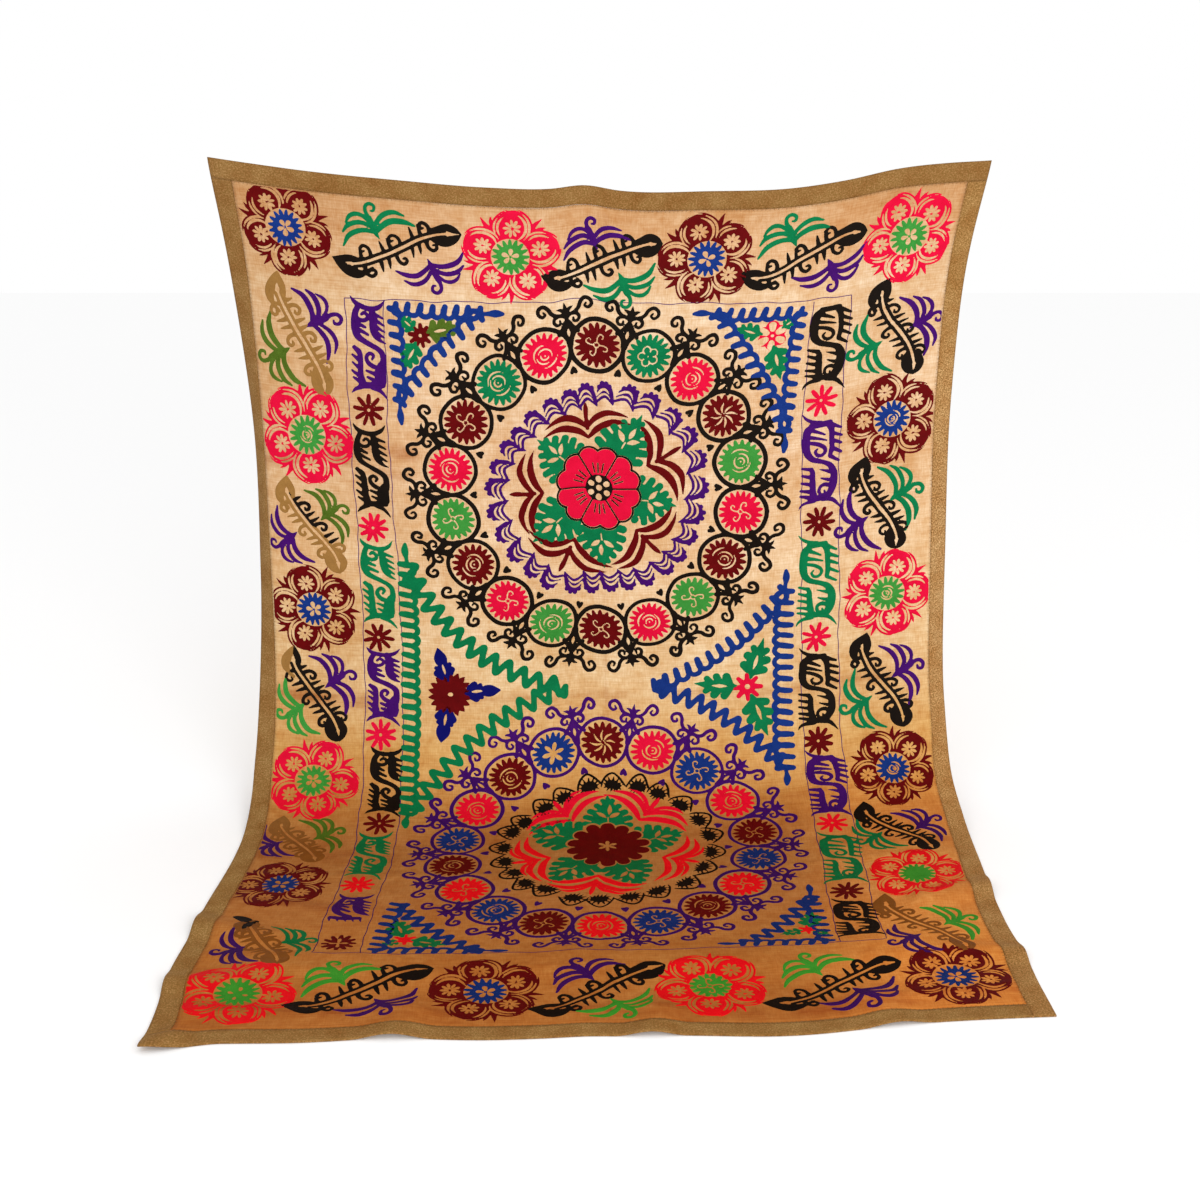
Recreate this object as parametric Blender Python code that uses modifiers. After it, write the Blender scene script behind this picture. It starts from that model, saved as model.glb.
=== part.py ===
"""Suzani wall hanging in two medallions, as cut and sewn: one embroidered cotton panel and four
binding strips round its edge. It hangs from its two top corners, its sides curl back, and its lower
third sweeps forward and lies on the floor. Metres, +Z up, the stitched face towards -Y. The origin
is on the floor, under the middle of the whole hanging.

Two flat coordinates name a place on the cloth before it was hung: "across", from the middle towards
the right edge as seen from the front, and "down", from the top edge to the bottom one.
"""

import math

import bmesh
import bpy
import numpy as np

MM = 0.001

# ---- Driving sizes of the cloth, in metres ----
CLOTH_WIDTH = 1.480
CLOTH_LENGTH = 2.190
BINDING_WIDTH = 0.039
PANEL_THICKNESS = 0.0018          # cotton with its filling of couched silk
BINDING_THICKNESS = 0.0024        # coarse strip turned over the panel's edge
SEAM_GAP = 0.0003                 # between the panel and a strip, and between two strips
HALF_WIDTH = CLOTH_WIDTH / 2

# ---- How it hangs ----
BEND_START = 0.930                # down the cloth: plumb above this
BEND_END = 1.580                  # down the cloth: level on the floor below this
HANG_LINE_Y = 0.490               # the top edge stands this far behind the origin
MIDDLE_X = -0.005                 # the middle line stands this far beside the origin
CURL_BAND = 0.089                 # the outer band of each side that curls back
TURN_POWER = 1.6                  # how late across the half width the gentle turn comes in

# A row for each section down the cloth. turn and curl are degrees that a side turns back, over the
# whole half width and over its outer band. sag_share scales TOP_SAG, skew drops the right side
# under the left one, shift moves the section to the right, and spread is in percent of the width.
SECTION_COLUMNS = ("down_mm", "turn_left", "turn_right", "curl_left", "curl_right",
                   "sag_share", "skew_mm", "shift_mm", "spread")
SECTIONS = (
    (0, 0, 10, 0, 0, 1.00, 2, 6, 4.4),
    (200, 8, 14, 15, 6, 0.77, 1, -1, 1.8),
    (500, 12, 2, 46, 28, 0.67, -28, -11, -0.5),
    (850, 3, 3, 50, 31, 0.62, -22, 0, -0.5),
    (1200, 3, 1, 14, 34, 0.40, -28, 6, 0.2),
    (1500, 6, 1, 8, 18, 0.50, -46, 14, -0.2),
    (1800, 1, 1, 0, 0, 0.66, -36, 2, -0.1),
    (2190, 0, 0, 0, 0, 0.34, -42, 11, 0.1),
)

# How far the top edge sags under the line of its two corners, and the small gather in its middle.
SAG_COLUMNS = ("across_mm", "sag_mm")
TOP_SAG = (
    (-740, 0), (-560, 26), (-380, 44), (-220, 57), (-100, 59), (-35, 52), (30, 62),
    (200, 63), (360, 57), (460, 42), (560, 20), (660, 9), (740, 5),
)

# Places where the cloth was tugged in its own plane: towards the right, and on down the cloth.
TUG_COLUMNS = ("across_mm", "down_mm", "reach_mm", "right_mm", "along_mm")
TUGS = (
    (-740, 2190, 130, -4, 24),
    (-700, 1990, 170, -9, 0),
    (-350, 2190, 170, 0, -9),
    (290, 2190, 220, 0, 14),
    (740, 1980, 120, 4, 0),
    (700, 1330, 120, -4, 0),
)

# Soft ridges (+) and troughs (-) between two places on the cloth.
FOLD_COLUMNS = ("from_across_mm", "from_down_mm", "to_across_mm", "to_down_mm",
                "half_width_mm", "height_mm")
FOLDS = (
    (-700, 20, -330, 760, 90, 7),
    (690, 20, 360, 720, 90, 7),
    (-560, 60, -430, 430, 60, -5),
    (560, 60, 470, 420, 60, -5),
    (-110, 60, -100, 800, 100, 4),
    (240, 60, 260, 900, 110, -4),
    (-690, 1250, -430, 1400, 75, 8),
    (690, 1180, 470, 1330, 75, 8),
    (-560, 1955, 560, 1935, 110, 12),
    (-350, 2200, -330, 2100, 70, 9),
    (70, 2200, 90, 2110, 60, 8),
    (480, 2200, 450, 2100, 65, 7),
    (-745, 1800, -600, 1850, 60, 12),
    (-745, 2010, -630, 2000, 50, 9),
    (745, 1720, 610, 1760, 55, 12),
    (745, 1980, 630, 1960, 50, 9),
    (-750, 2200, -700, 2165, 45, 10),
)

# ---- Mesh lines ----
PANEL_COLUMNS = 38
PANEL_ROWS = 58
STRIP_COLUMNS = 2
RIM_CROWDING = 0.35               # how much closer the lines lie towards the panel's edges
FINE_DOWN = 440                   # steps of the running sums that unroll the sweep and the curl
FINE_ACROSS = 180

COLLECTION_NAME = "suzani_hanging"
MATERIALS = {
    "embroidered_cotton": ((0.76, 0.50, 0.28, 1.0), 0.78),
    "khaki_binding": ((0.31, 0.19, 0.085, 1.0), 0.88),
}


def column(table, names, name):
    """One named column of a table, as an array."""
    return np.array([row[names.index(name)] for row in table], float)


def ease(t):
    """0 to 1 with level ends: 3t^2 - 2t^3."""
    t = np.clip(t, 0, 1)
    return t * t * (3 - 2 * t)


def bell(t):
    """1 at t = 0 falling smoothly to 0 at t = 1: a squared cosine."""
    return np.cos(np.clip(t, 0, 1) * math.pi / 2) ** 2


def smooth_curve(knots, values, where):
    """Cubic Hermite curve through the knots, its slope at a knot blended from both sides."""
    gaps = np.diff(knots)
    slopes = np.diff(values) / gaps
    inner = (slopes[:-1] * gaps[1:] + slopes[1:] * gaps[:-1]) / (gaps[1:] + gaps[:-1])
    slopes = np.concatenate([slopes[:1], inner, slopes[-1:]])
    where = np.clip(where, knots[0], knots[-1])
    i = np.clip(np.searchsorted(knots, where, side="right") - 1, 0, len(knots) - 2)
    gap = gaps[i]
    t = (where - knots[i]) / gap
    start = values[i] * (1 + 2 * t) * (1 - t) ** 2 + slopes[i] * gap * t * (1 - t) ** 2
    end = values[i + 1] * t * t * (3 - 2 * t) + slopes[i + 1] * gap * t * t * (t - 1)
    return start + end


def section(name, down):
    """A column of SECTIONS, read at any distance down the cloth."""
    knots = column(SECTIONS, SECTION_COLUMNS, "down_mm") * MM
    return smooth_curve(knots, column(SECTIONS, SECTION_COLUMNS, name), down)


def top_sag(across):
    """Sag of the top edge, in metres."""
    knots = column(TOP_SAG, SAG_COLUMNS, "across_mm") * MM
    return smooth_curve(knots, column(TOP_SAG, SAG_COLUMNS, "sag_mm") * MM, across)


def slope_angle(down):
    """Angle of the middle line from plumb: 0 while it hangs, a right angle on the floor."""
    return math.pi / 2 * ease((down - BEND_START) / (BEND_END - BEND_START))


def running_sum(values, step, axis):
    """Area under the values up to each sample, starting from 0."""
    values = np.moveaxis(values, axis, 0)
    halves = (values[1:] + values[:-1]) / 2 * step
    total = np.concatenate([np.zeros_like(values[:1]), np.cumsum(halves, 0)])
    return np.moveaxis(total, 0, axis)


def read_table(table, row, col):
    """A value between the four nearest samples of a fine table."""
    i = np.minimum(row.astype(int), table.shape[0] - 2)
    j = np.minimum(col.astype(int), table.shape[1] - 2)
    a = row - i
    b = col - j
    upper = table[i, j] * (1 - b) + table[i, j + 1] * b
    lower = table[i + 1, j] * (1 - b) + table[i + 1, j + 1] * b
    return upper * (1 - a) + lower * a


def half_section(side, across, down):
    """How far out and how far back a point lies, when its half of the cloth turns and curls back.

    The cloth keeps its width: both are sums of the cosine and the sine of the turn angle.
    """
    fine_down = np.linspace(0, CLOTH_LENGTH, FINE_DOWN + 1)[:, None]
    share = np.linspace(0, 1, FINE_ACROSS + 1)[None, :]
    band = CURL_BAND / HALF_WIDTH
    turn = np.radians(section("turn_" + side, fine_down)) * share ** TURN_POWER
    curl = np.radians(section("curl_" + side, fine_down)) * ease((share - 1 + band) / band)
    step = HALF_WIDTH / FINE_ACROSS
    out = running_sum(np.cos(turn + curl), step, 1) * (1 + section("spread", fine_down) / 100)
    back = running_sum(np.sin(turn + curl), step, 1)
    row = np.clip(down / CLOTH_LENGTH, 0, 1) * FINE_DOWN
    col = np.clip(np.abs(across) / HALF_WIDTH, 0, 1) * FINE_ACROSS
    return read_table(out, row, col), read_table(back, row, col)


def tugs(across, down):
    """Sum of the bell-shaped tugs in the cloth's plane: to the right, and down the cloth."""
    right = np.zeros_like(across)
    along = np.zeros_like(across)
    for tug_across, tug_down, reach, to_right, to_along in TUGS:
        distance = np.hypot(across - tug_across * MM, down - tug_down * MM)
        share = bell(distance / (reach * MM))
        right += share * to_right * MM
        along += share * to_along * MM
    return right, along


def fold_height(across, down):
    """Height of the soft folds: a bell of the distance to each fold's line."""
    height = np.zeros_like(across)
    for from_across, from_down, to_across, to_down, half_width, rise in FOLDS:
        line = np.array([to_across - from_across, to_down - from_down]) * MM
        offset_across = across - from_across * MM
        offset_down = down - from_down * MM
        t = np.clip((offset_across * line[0] + offset_down * line[1]) / (line @ line), 0, 1)
        distance = np.hypot(offset_across - t * line[0], offset_down - t * line[1])
        height += bell(distance / (half_width * MM)) * rise * MM
    return height


def drape(across, down):
    """Place of the cloth's back face in the room for flat coordinates across and down."""
    fine_down = np.linspace(0, CLOTH_LENGTH, FINE_DOWN + 1)
    step = CLOTH_LENGTH / FINE_DOWN
    forward = running_sum(np.sin(slope_angle(fine_down)), step, 0)
    fallen = running_sum(np.cos(slope_angle(fine_down)), step, 0)
    left = half_section("left", across, down)
    right = half_section("right", across, down)
    out = np.where(across > 0, right[0], -left[0])
    back = np.where(across > 0, right[1], left[1])
    tug_right, tug_along = tugs(across, down)
    slide = top_sag(across) * section("sag_share", down) + tug_along
    slide = slide + section("skew_mm", down) * MM * across / HALF_WIDTH
    angle = slope_angle(down)
    rise = fold_height(across, down)
    x = MIDDLE_X + out + section("shift_mm", down) * MM + tug_right
    y = HANG_LINE_Y - np.interp(down, fine_down, forward) - slide * np.sin(angle)
    z = fallen[-1] - np.interp(down, fine_down, fallen) - slide * np.cos(angle)
    above_floor = np.maximum(z, 0)
    y += (back - rise) * np.cos(angle)
    return np.stack([x, y, above_floor + rise * np.sin(angle)], axis=-1)


def crowded(start, end, cells):
    """Cell lines from start to end that lie closer together towards both ends."""
    t = np.linspace(0, 1, cells + 1)
    return start + (end - start) * (t - RIM_CROWDING * np.sin(2 * math.pi * t) / (2 * math.pi))


def evenly(start, end, cells):
    """Cell lines from start to end at one spacing."""
    return np.linspace(start, end, cells + 1)


def cloth_material(name):
    """Principled material with the cloth's colour and roughness."""
    colour, roughness = MATERIALS[name]
    material = bpy.data.materials.new(name)
    material.use_nodes = True
    material.diffuse_color = colour
    shader = material.node_tree.nodes["Principled BSDF"]
    shader.inputs["Base Color"].default_value = colour
    shader.inputs["Roughness"].default_value = roughness
    shader.inputs["Metallic"].default_value = 0.0
    return material


def cloth_piece(name, across_lines, down_lines, thickness, material, collection):
    """One cut piece: a grid laid on the drape at the given lines, then given its thickness."""
    mesh = bpy.data.meshes.new(name)
    grid = bmesh.new()
    bmesh.ops.create_grid(
        grid, x_segments=len(across_lines) - 1, y_segments=len(down_lines) - 1, size=0.5
    )
    grid.to_mesh(mesh)
    grid.free()
    flat = np.empty(len(mesh.vertices) * 3)
    mesh.vertices.foreach_get("co", flat)
    flat = flat.reshape(-1, 3)
    column_number = np.rint((flat[:, 0] + 0.5) * (len(across_lines) - 1)).astype(int)
    row_number = np.rint((0.5 - flat[:, 1]) * (len(down_lines) - 1)).astype(int)
    hung = drape(across_lines[column_number], down_lines[row_number])
    mesh.vertices.foreach_set("co", hung.ravel())
    mesh.update()
    mesh.shade_smooth()
    mesh.materials.append(material)
    piece = bpy.data.objects.new(name, mesh)
    collection.objects.link(piece)
    thicken = piece.modifiers.new("thickness", "SOLIDIFY")
    thicken.thickness = thickness
    thicken.offset = 1.0
    return piece


def clear_scene():
    """Remove what the scene holds."""
    for item in list(bpy.data.objects):
        bpy.data.objects.remove(item, do_unlink=True)


def build():
    """Cut, place and thicken the panel and its four binding strips."""
    clear_scene()
    collection = bpy.data.collections.new(COLLECTION_NAME)
    bpy.context.scene.collection.children.link(collection)
    cotton = cloth_material("embroidered_cotton")
    khaki = cloth_material("khaki_binding")

    inner_side = HALF_WIDTH - BINDING_WIDTH
    inner_top = BINDING_WIDTH
    inner_bottom = CLOTH_LENGTH - BINDING_WIDTH
    panel_across = crowded(-inner_side + SEAM_GAP, inner_side - SEAM_GAP, PANEL_COLUMNS)
    panel_down = crowded(inner_top + SEAM_GAP, inner_bottom - SEAM_GAP, PANEL_ROWS)
    left_across = evenly(-HALF_WIDTH, -inner_side, STRIP_COLUMNS)
    right_across = evenly(inner_side, HALF_WIDTH, STRIP_COLUMNS)
    top_down = evenly(0, inner_top, STRIP_COLUMNS)
    bottom_down = evenly(inner_bottom, CLOTH_LENGTH, STRIP_COLUMNS)

    cloth_piece("ground_panel", panel_across, panel_down, PANEL_THICKNESS, cotton, collection)
    # The top strip runs the full width, and the left one stops at the bottom strip.
    strips = (
        ("binding_top", np.concatenate([left_across[:-1], panel_across, right_across[1:]]), top_down),
        ("binding_left", left_across, panel_down),
        ("binding_right", right_across, np.concatenate([panel_down, bottom_down[1:]])),
        ("binding_bottom", np.concatenate([left_across[:-1], panel_across]), bottom_down),
    )
    for name, across_lines, down_lines in strips:
        cloth_piece(name, across_lines, down_lines, BINDING_THICKNESS, khaki, collection)


build()
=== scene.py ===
# %% [markdown]
# # A suzani wall hanging in two medallions
# A suzani is a large dowry cloth: cotton panels covered with silk flowers, bound round the edge
# with a coarse strip. This one hangs from its two top corners, its sides curl back, and its lower
# third sweeps forward over the floor.
#
# The lesson builds the cloth as surfaces worked out with numpy. A place on the cloth is named by
# two flat coordinates, as if it still lay on the cutting table: "across", in millimetres from the
# middle to the right, and "down", in millimetres from the top edge. One function hangs any flat
# place in the room, so the weave, the binding and every stitch follow the same folds.

# %% Load the frame
import math

import bpy
import numpy as np
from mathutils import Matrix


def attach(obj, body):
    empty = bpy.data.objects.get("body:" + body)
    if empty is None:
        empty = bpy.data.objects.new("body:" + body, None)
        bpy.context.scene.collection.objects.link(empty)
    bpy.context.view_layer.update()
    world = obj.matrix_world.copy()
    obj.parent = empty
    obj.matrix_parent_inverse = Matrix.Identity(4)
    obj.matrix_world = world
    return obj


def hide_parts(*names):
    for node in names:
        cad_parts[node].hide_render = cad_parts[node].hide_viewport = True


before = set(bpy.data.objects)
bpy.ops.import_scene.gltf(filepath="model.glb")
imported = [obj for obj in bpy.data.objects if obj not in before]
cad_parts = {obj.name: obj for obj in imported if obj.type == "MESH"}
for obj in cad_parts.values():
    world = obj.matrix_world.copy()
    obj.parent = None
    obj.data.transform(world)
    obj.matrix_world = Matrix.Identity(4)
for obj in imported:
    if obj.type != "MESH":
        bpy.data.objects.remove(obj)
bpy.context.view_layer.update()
print("solids:", sorted(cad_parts))

MM = 0.001
scene = bpy.context.scene
scene.view_settings.view_transform = "Standard"    # dyed silk keeps its full strength

# %% [markdown]
# ## The camera and the studio
# The cloth was seen from a standing person's height, a few steps back. A camera could be aimed
# with a constraint, but two numbers say the same: how far it tips down, and its lens. The floor
# and the walls of a plain studio are pale and evenly lit, with the larger part of the light from
# the front and above, so the part that lies on the floor is the dimmer one.

# %% Camera
EYE = (-0.005, -2.940, 1.490)       # metres, in front of the hanging line
TIP_DOWN = math.radians(17.36)
LENS = 51.0                         # millimetres, on a 36 mm square frame

camera_data = bpy.data.cameras.new("camera")
camera_data.lens = LENS
camera_data.sensor_width = 36.0
camera = bpy.data.objects.new("camera", camera_data)
camera.location = EYE
camera.rotation_euler = (math.pi / 2 - TIP_DOWN, 0, 0)
scene.collection.objects.link(camera)
scene.camera = camera
print("camera height", EYE[2], "m, lens", LENS, "mm")


# %% Colour, nodes and materials
def linear(hex_colour):
    """sRGB hex to linear: c / 12.92 below 0.04045, else ((c + 0.055) / 1.055) to the power 2.4."""
    channels = [int(hex_colour[i:i + 2], 16) / 255 for i in (1, 3, 5)]
    return tuple(c / 12.92 if c < 0.04045 else ((c + 0.055) / 1.055) ** 2.4 for c in channels) + (1,)


def feed(tree, made, inputs):
    """Sets a node's inputs: each is a constant, or another node's output, which is linked."""
    for socket, value in inputs.items():
        if isinstance(value, bpy.types.NodeSocket):
            tree.links.new(value, made.inputs[socket])
        else:
            made.inputs[socket].default_value = value


def node(tree, kind, inputs, **settings):
    """Adds one node: the settings are its properties, its inputs are as feed takes them."""
    made = tree.nodes.new(kind)
    for key, value in settings.items():
        setattr(made, key, value)
    feed(tree, made, inputs)
    return made


def new_paint(name):
    """A new material and its node tree."""
    paint = bpy.data.materials.new(name)
    paint.use_nodes = True
    return paint, paint.node_tree


def set_shader(tree, colour, roughness, shine, **more):
    """Gives the tree's shader its colour, its roughness, its mirror shine and more inputs."""
    feed(tree, tree.nodes["Principled BSDF"],
         {"Base Color": colour, "Roughness": roughness, "Specular IOR Level": shine} | more)


# %% Floor and light
def fill_mesh(mesh, points, faces):
    """Puts whole arrays of points and of same-sided faces into the mesh, shaded smooth."""
    sides = faces.shape[1]
    mesh.vertices.add(len(points))
    mesh.vertices.foreach_set("co", points.astype(np.float32).ravel())
    mesh.loops.add(faces.size)
    mesh.loops.foreach_set("vertex_index", faces.astype(np.int32).ravel())
    mesh.polygons.add(len(faces))
    mesh.polygons.foreach_set("loop_start", np.arange(0, faces.size, sides, dtype=np.int32))
    mesh.polygons.foreach_set("use_smooth", np.ones(len(faces), bool))
    mesh.update(calc_edges=True)
    mesh.validate()


def grid_mesh(name, points):
    """A mesh of quads on a rows x columns x 3 array of points, facing the near side."""
    rows, columns = points.shape[:2]
    mesh = bpy.data.meshes.new(name)
    corner = np.arange(rows * columns).reshape(rows, columns)
    quads = np.stack([corner[:-1, :-1], corner[1:, :-1], corner[1:, 1:], corner[:-1, 1:]], -1)
    fill_mesh(mesh, points.reshape(-1, 3), quads.reshape(-1, 4))
    return mesh


FLOOR_HALF = 9.0                    # metres
FLOOR_LINES = 9
FLOOR_DROP = 0.0005                 # metres under the cloth, so that the two never touch
edge_line = np.linspace(-FLOOR_HALF, FLOOR_HALF, FLOOR_LINES)
floor_y, floor_x = np.meshgrid(edge_line[::-1], edge_line, indexing="ij")
floor_mesh = grid_mesh("floor", np.stack([floor_x, floor_y, floor_x * 0 - FLOOR_DROP], -1))
floor = bpy.data.objects.new("floor", floor_mesh)
scene.collection.objects.link(floor)

# Pale and without shine: the eye sees only the cloth's soft shadow on it.
floor_paint, tree = new_paint("matt studio floor")
set_shader(tree, linear("#FBFBFB"), 1.0, 0.0)
floor_mesh.materials.append(floor_paint)

world = bpy.data.worlds.new("studio")
scene.world = world
world.use_nodes = True
world.node_tree.nodes["Background"].inputs["Color"].default_value = (1, 1, 1, 1)
world.node_tree.nodes["Background"].inputs["Strength"].default_value = 1.0


def lamp(name, place, towards, size, watts):
    """A square area light that faces a point."""
    data = bpy.data.lights.new(name, "AREA")
    data.size = size
    data.energy = watts
    light = bpy.data.objects.new(name, data)
    light.location = place
    aim = np.array(towards) - np.array(place)
    flat_run = math.hypot(aim[0], aim[1])
    light.rotation_euler = (math.atan2(flat_run, -aim[2]), 0, math.atan2(-aim[0], aim[1]))
    scene.collection.objects.link(light)


lamp("front light", (1.5, -4.2, 1.5), (0, 0.4, 0.75), 2.0, 100)

# %% [markdown]
# ## Hanging a flat place in the room
# The folds of a hanging cloth could be simulated, but this cloth has few of them and each has its
# place, so they are listed one by one. The cloth keeps its lengths: the sweep to the floor and the
# curled sides are running sums of sines and cosines of a turning angle, as when a sheet of paper
# is bent. The top edge sags between its corners, and soft ridges and troughs cross the cloth.

# %% The cloth's driving sizes
CLOTH_WIDTH = 1480                  # millimetres, as cut
CLOTH_LENGTH = 2190
BINDING_WIDTH = 39
PANEL_THICKNESS = 1.8
BINDING_THICKNESS = 2.4
SEAM_GAP = 0.3
HALF_WIDTH = CLOTH_WIDTH / 2
BEND_START = 930                    # plumb above this, down the cloth
BEND_END = 1580                     # level on the floor below this
HANG_LINE_Y = 0.490                 # metres
MIDDLE_X = -0.005
CURL_BAND = 89                      # the outer band of each side that curls back
TURN_POWER = 1.6                    # over 1: a side turns little near the middle, more at its edge
FINE_DOWN = 440                     # steps of the running sums, down the cloth
FINE_ACROSS = 180                   # and from its middle to one side

SECTION_COLUMNS = ("down", "turn_left", "turn_right", "curl_left", "curl_right",
                   "sag_share", "skew", "shift", "spread")
SECTIONS = (
    (0, 0, 10, 0, 0, 1.00, 2, 6, 4.4),
    (200, 8, 14, 15, 6, 0.77, 1, -1, 1.8),
    (500, 12, 2, 46, 28, 0.67, -28, -11, -0.5),
    (850, 3, 3, 50, 31, 0.62, -22, 0, -0.5),
    (1200, 3, 1, 14, 34, 0.40, -28, 6, 0.2),
    (1500, 6, 1, 8, 18, 0.50, -46, 14, -0.2),
    (1800, 1, 1, 0, 0, 0.66, -36, 2, -0.1),
    (2190, 0, 0, 0, 0, 0.34, -42, 11, 0.1),
)
TOP_SAG = (                         # across, sag
    (-740, 0), (-560, 26), (-380, 44), (-220, 57), (-100, 59), (-35, 52), (30, 62),
    (200, 63), (360, 57), (460, 42), (560, 20), (660, 9), (740, 5),
)
TUGS = (                            # across, down, reach, to the right, along the cloth
    (-740, 2190, 130, -4, 24),
    (-700, 1990, 170, -9, 0),
    (-350, 2190, 170, 0, -9),
    (290, 2190, 220, 0, 14),
    (740, 1980, 120, 4, 0),
    (700, 1330, 120, -4, 0),
)
FOLDS = (                           # from across, down, to across, down, half width, height
    (-700, 20, -330, 760, 90, 7),
    (690, 20, 360, 720, 90, 7),
    (-560, 60, -430, 430, 60, -5),
    (560, 60, 470, 420, 60, -5),
    (-110, 60, -100, 800, 100, 4),
    (240, 60, 260, 900, 110, -4),
    (-690, 1250, -430, 1400, 75, 8),
    (690, 1180, 470, 1330, 75, 8),
    (-560, 1955, 560, 1935, 110, 12),
    (-350, 2200, -330, 2100, 70, 9),
    (70, 2200, 90, 2110, 60, 8),
    (480, 2200, 450, 2100, 65, 7),
    (-745, 1800, -600, 1850, 60, 12),
    (-745, 2010, -630, 2000, 50, 9),
    (745, 1720, 610, 1760, 55, 12),
    (745, 1980, 630, 1960, 50, 9),
    (-750, 2200, -700, 2165, 45, 10),
)


# %% Curves and running sums
def ease(t):
    """0 to 1 with level ends: three t squared less two t cubed."""
    t = np.clip(t, 0, 1)
    return t * t * (3 - 2 * t)


def bell(t):
    """1 at t = 0, falling to 0 at t = 1: a squared cosine."""
    return np.cos(np.clip(t, 0, 1) * math.pi / 2) ** 2


def smooth_curve(table, column, where):
    """Cubic Hermite curve through a table's rows, its slope at a row blended from both sides."""
    rows = np.array(table, float)
    knots, values = rows[:, 0], rows[:, column]
    gaps = np.diff(knots)
    slopes = np.diff(values) / gaps
    inner = (slopes[:-1] * gaps[1:] + slopes[1:] * gaps[:-1]) / (gaps[1:] + gaps[:-1])
    slopes = np.concatenate([slopes[:1], inner, slopes[-1:]])
    where = np.clip(where, knots[0], knots[-1])
    i = np.clip(np.searchsorted(knots, where, side="right") - 1, 0, len(knots) - 2)
    gap = gaps[i]
    t = (where - knots[i]) / gap
    start = values[i] * (1 + 2 * t) * (1 - t) ** 2 + slopes[i] * gap * t * (1 - t) ** 2
    end = values[i + 1] * t * t * (3 - 2 * t) + slopes[i + 1] * gap * t * t * (t - 1)
    return start + end


def section(name, down):
    """A column of SECTIONS, read at any distance down the cloth."""
    return smooth_curve(SECTIONS, SECTION_COLUMNS.index(name), down)


def running_sum(values, step, axis):
    """Area under the values up to each sample, by trapezia."""
    values = np.moveaxis(values, axis, 0)
    halves = (values[1:] + values[:-1]) / 2 * step
    total = np.concatenate([np.zeros_like(values[:1]), np.cumsum(halves, 0)])
    return np.moveaxis(total, 0, axis)


def read_table(table, row, col):
    """A value, or a point, between the four nearest samples of a fine table."""
    i = np.clip(row.astype(int), 0, table.shape[0] - 2)
    j = np.clip(col.astype(int), 0, table.shape[1] - 2)
    a, b = row - i, col - j
    if table.ndim == 3:
        a, b = a[..., None], b[..., None]
    upper = table[i, j] * (1 - b) + table[i, j + 1] * b
    lower = table[i + 1, j] * (1 - b) + table[i + 1, j + 1] * b
    return upper * (1 - a) + lower * a


def along_line(across, down, start, end):
    """How far along a line, from 0 to 1, the nearest place lies, and how far off the line."""
    run = np.array(end, float) - np.array(start, float)
    t = np.clip(((across - start[0]) * run[0] + (down - start[1]) * run[1]) / (run @ run), 0, 1)
    return t, np.hypot(across - start[0] - t * run[0], down - start[1] - t * run[1])


# %% Drape
def half_section(side, across, down):
    """How far out and back a point lies: sums of the cosine and the sine of the side's turn."""
    fine_down = np.linspace(0, CLOTH_LENGTH, FINE_DOWN + 1)[:, None]
    share = np.linspace(0, 1, FINE_ACROSS + 1)[None, :]
    band = CURL_BAND / HALF_WIDTH
    turn = np.radians(section("turn_" + side, fine_down)) * share ** TURN_POWER
    curl = np.radians(section("curl_" + side, fine_down)) * ease((share - 1 + band) / band)
    step = HALF_WIDTH / FINE_ACROSS
    out = running_sum(np.cos(turn + curl), step, 1) * (1 + section("spread", fine_down) / 100)
    back = running_sum(np.sin(turn + curl), step, 1)
    row = np.clip(down / CLOTH_LENGTH, 0, 1) * FINE_DOWN
    col = np.clip(np.abs(across) / HALF_WIDTH, 0, 1) * FINE_ACROSS
    return read_table(out, row, col), read_table(back, row, col)


def tugs(across, down):
    """Bell-shaped tugs in the cloth's plane: to the right, and down the cloth."""
    shares = [bell(np.hypot(across - t[0], down - t[1]) / t[2]) for t in TUGS]
    right = sum(share * t[3] for share, t in zip(shares, TUGS))
    along = sum(share * t[4] for share, t in zip(shares, TUGS))
    return right, along


def ridge_height(across, down, table):
    """Sum of soft ridges and troughs: a bell of the distance to each one's line."""
    height = np.zeros_like(across)
    for from_across, from_down, to_across, to_down, half_width, rise in table:
        off = along_line(across, down, (from_across, from_down), (to_across, to_down))[1]
        height += bell(off / half_width) * rise
    return height


def drape(across, down, extra_rise):
    """Place of the cloth's back face in the room, in metres, for flat millimetres."""
    fine_down = np.linspace(0, CLOTH_LENGTH, FINE_DOWN + 1)
    step = CLOTH_LENGTH / FINE_DOWN
    fine_angle = math.pi / 2 * ease((fine_down - BEND_START) / (BEND_END - BEND_START))
    forward = running_sum(np.sin(fine_angle), step, 0)
    fallen = running_sum(np.cos(fine_angle), step, 0)
    left = half_section("left", across, down)
    right = half_section("right", across, down)
    out = np.where(across > 0, right[0], -left[0])
    back = np.where(across > 0, right[1], left[1])
    tug_right, tug_along = tugs(across, down)
    slide = smooth_curve(TOP_SAG, 1, across) * section("sag_share", down) + tug_along
    slide = slide + section("skew", down) * across / HALF_WIDTH
    angle = math.pi / 2 * ease((down - BEND_START) / (BEND_END - BEND_START))
    rise = ridge_height(across, down, FOLDS) + extra_rise
    x = out + section("shift", down) + tug_right
    y = -np.interp(down, fine_down, forward) - slide * np.sin(angle) + (back - rise) * np.cos(angle)
    z = fallen[-1] - np.interp(down, fine_down, fallen) - slide * np.cos(angle)
    z = np.maximum(z + rise * np.sin(angle), 0)
    return np.stack([MIDDLE_X + x * MM, HANG_LINE_Y + y * MM, z * MM], axis=-1)


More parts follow.
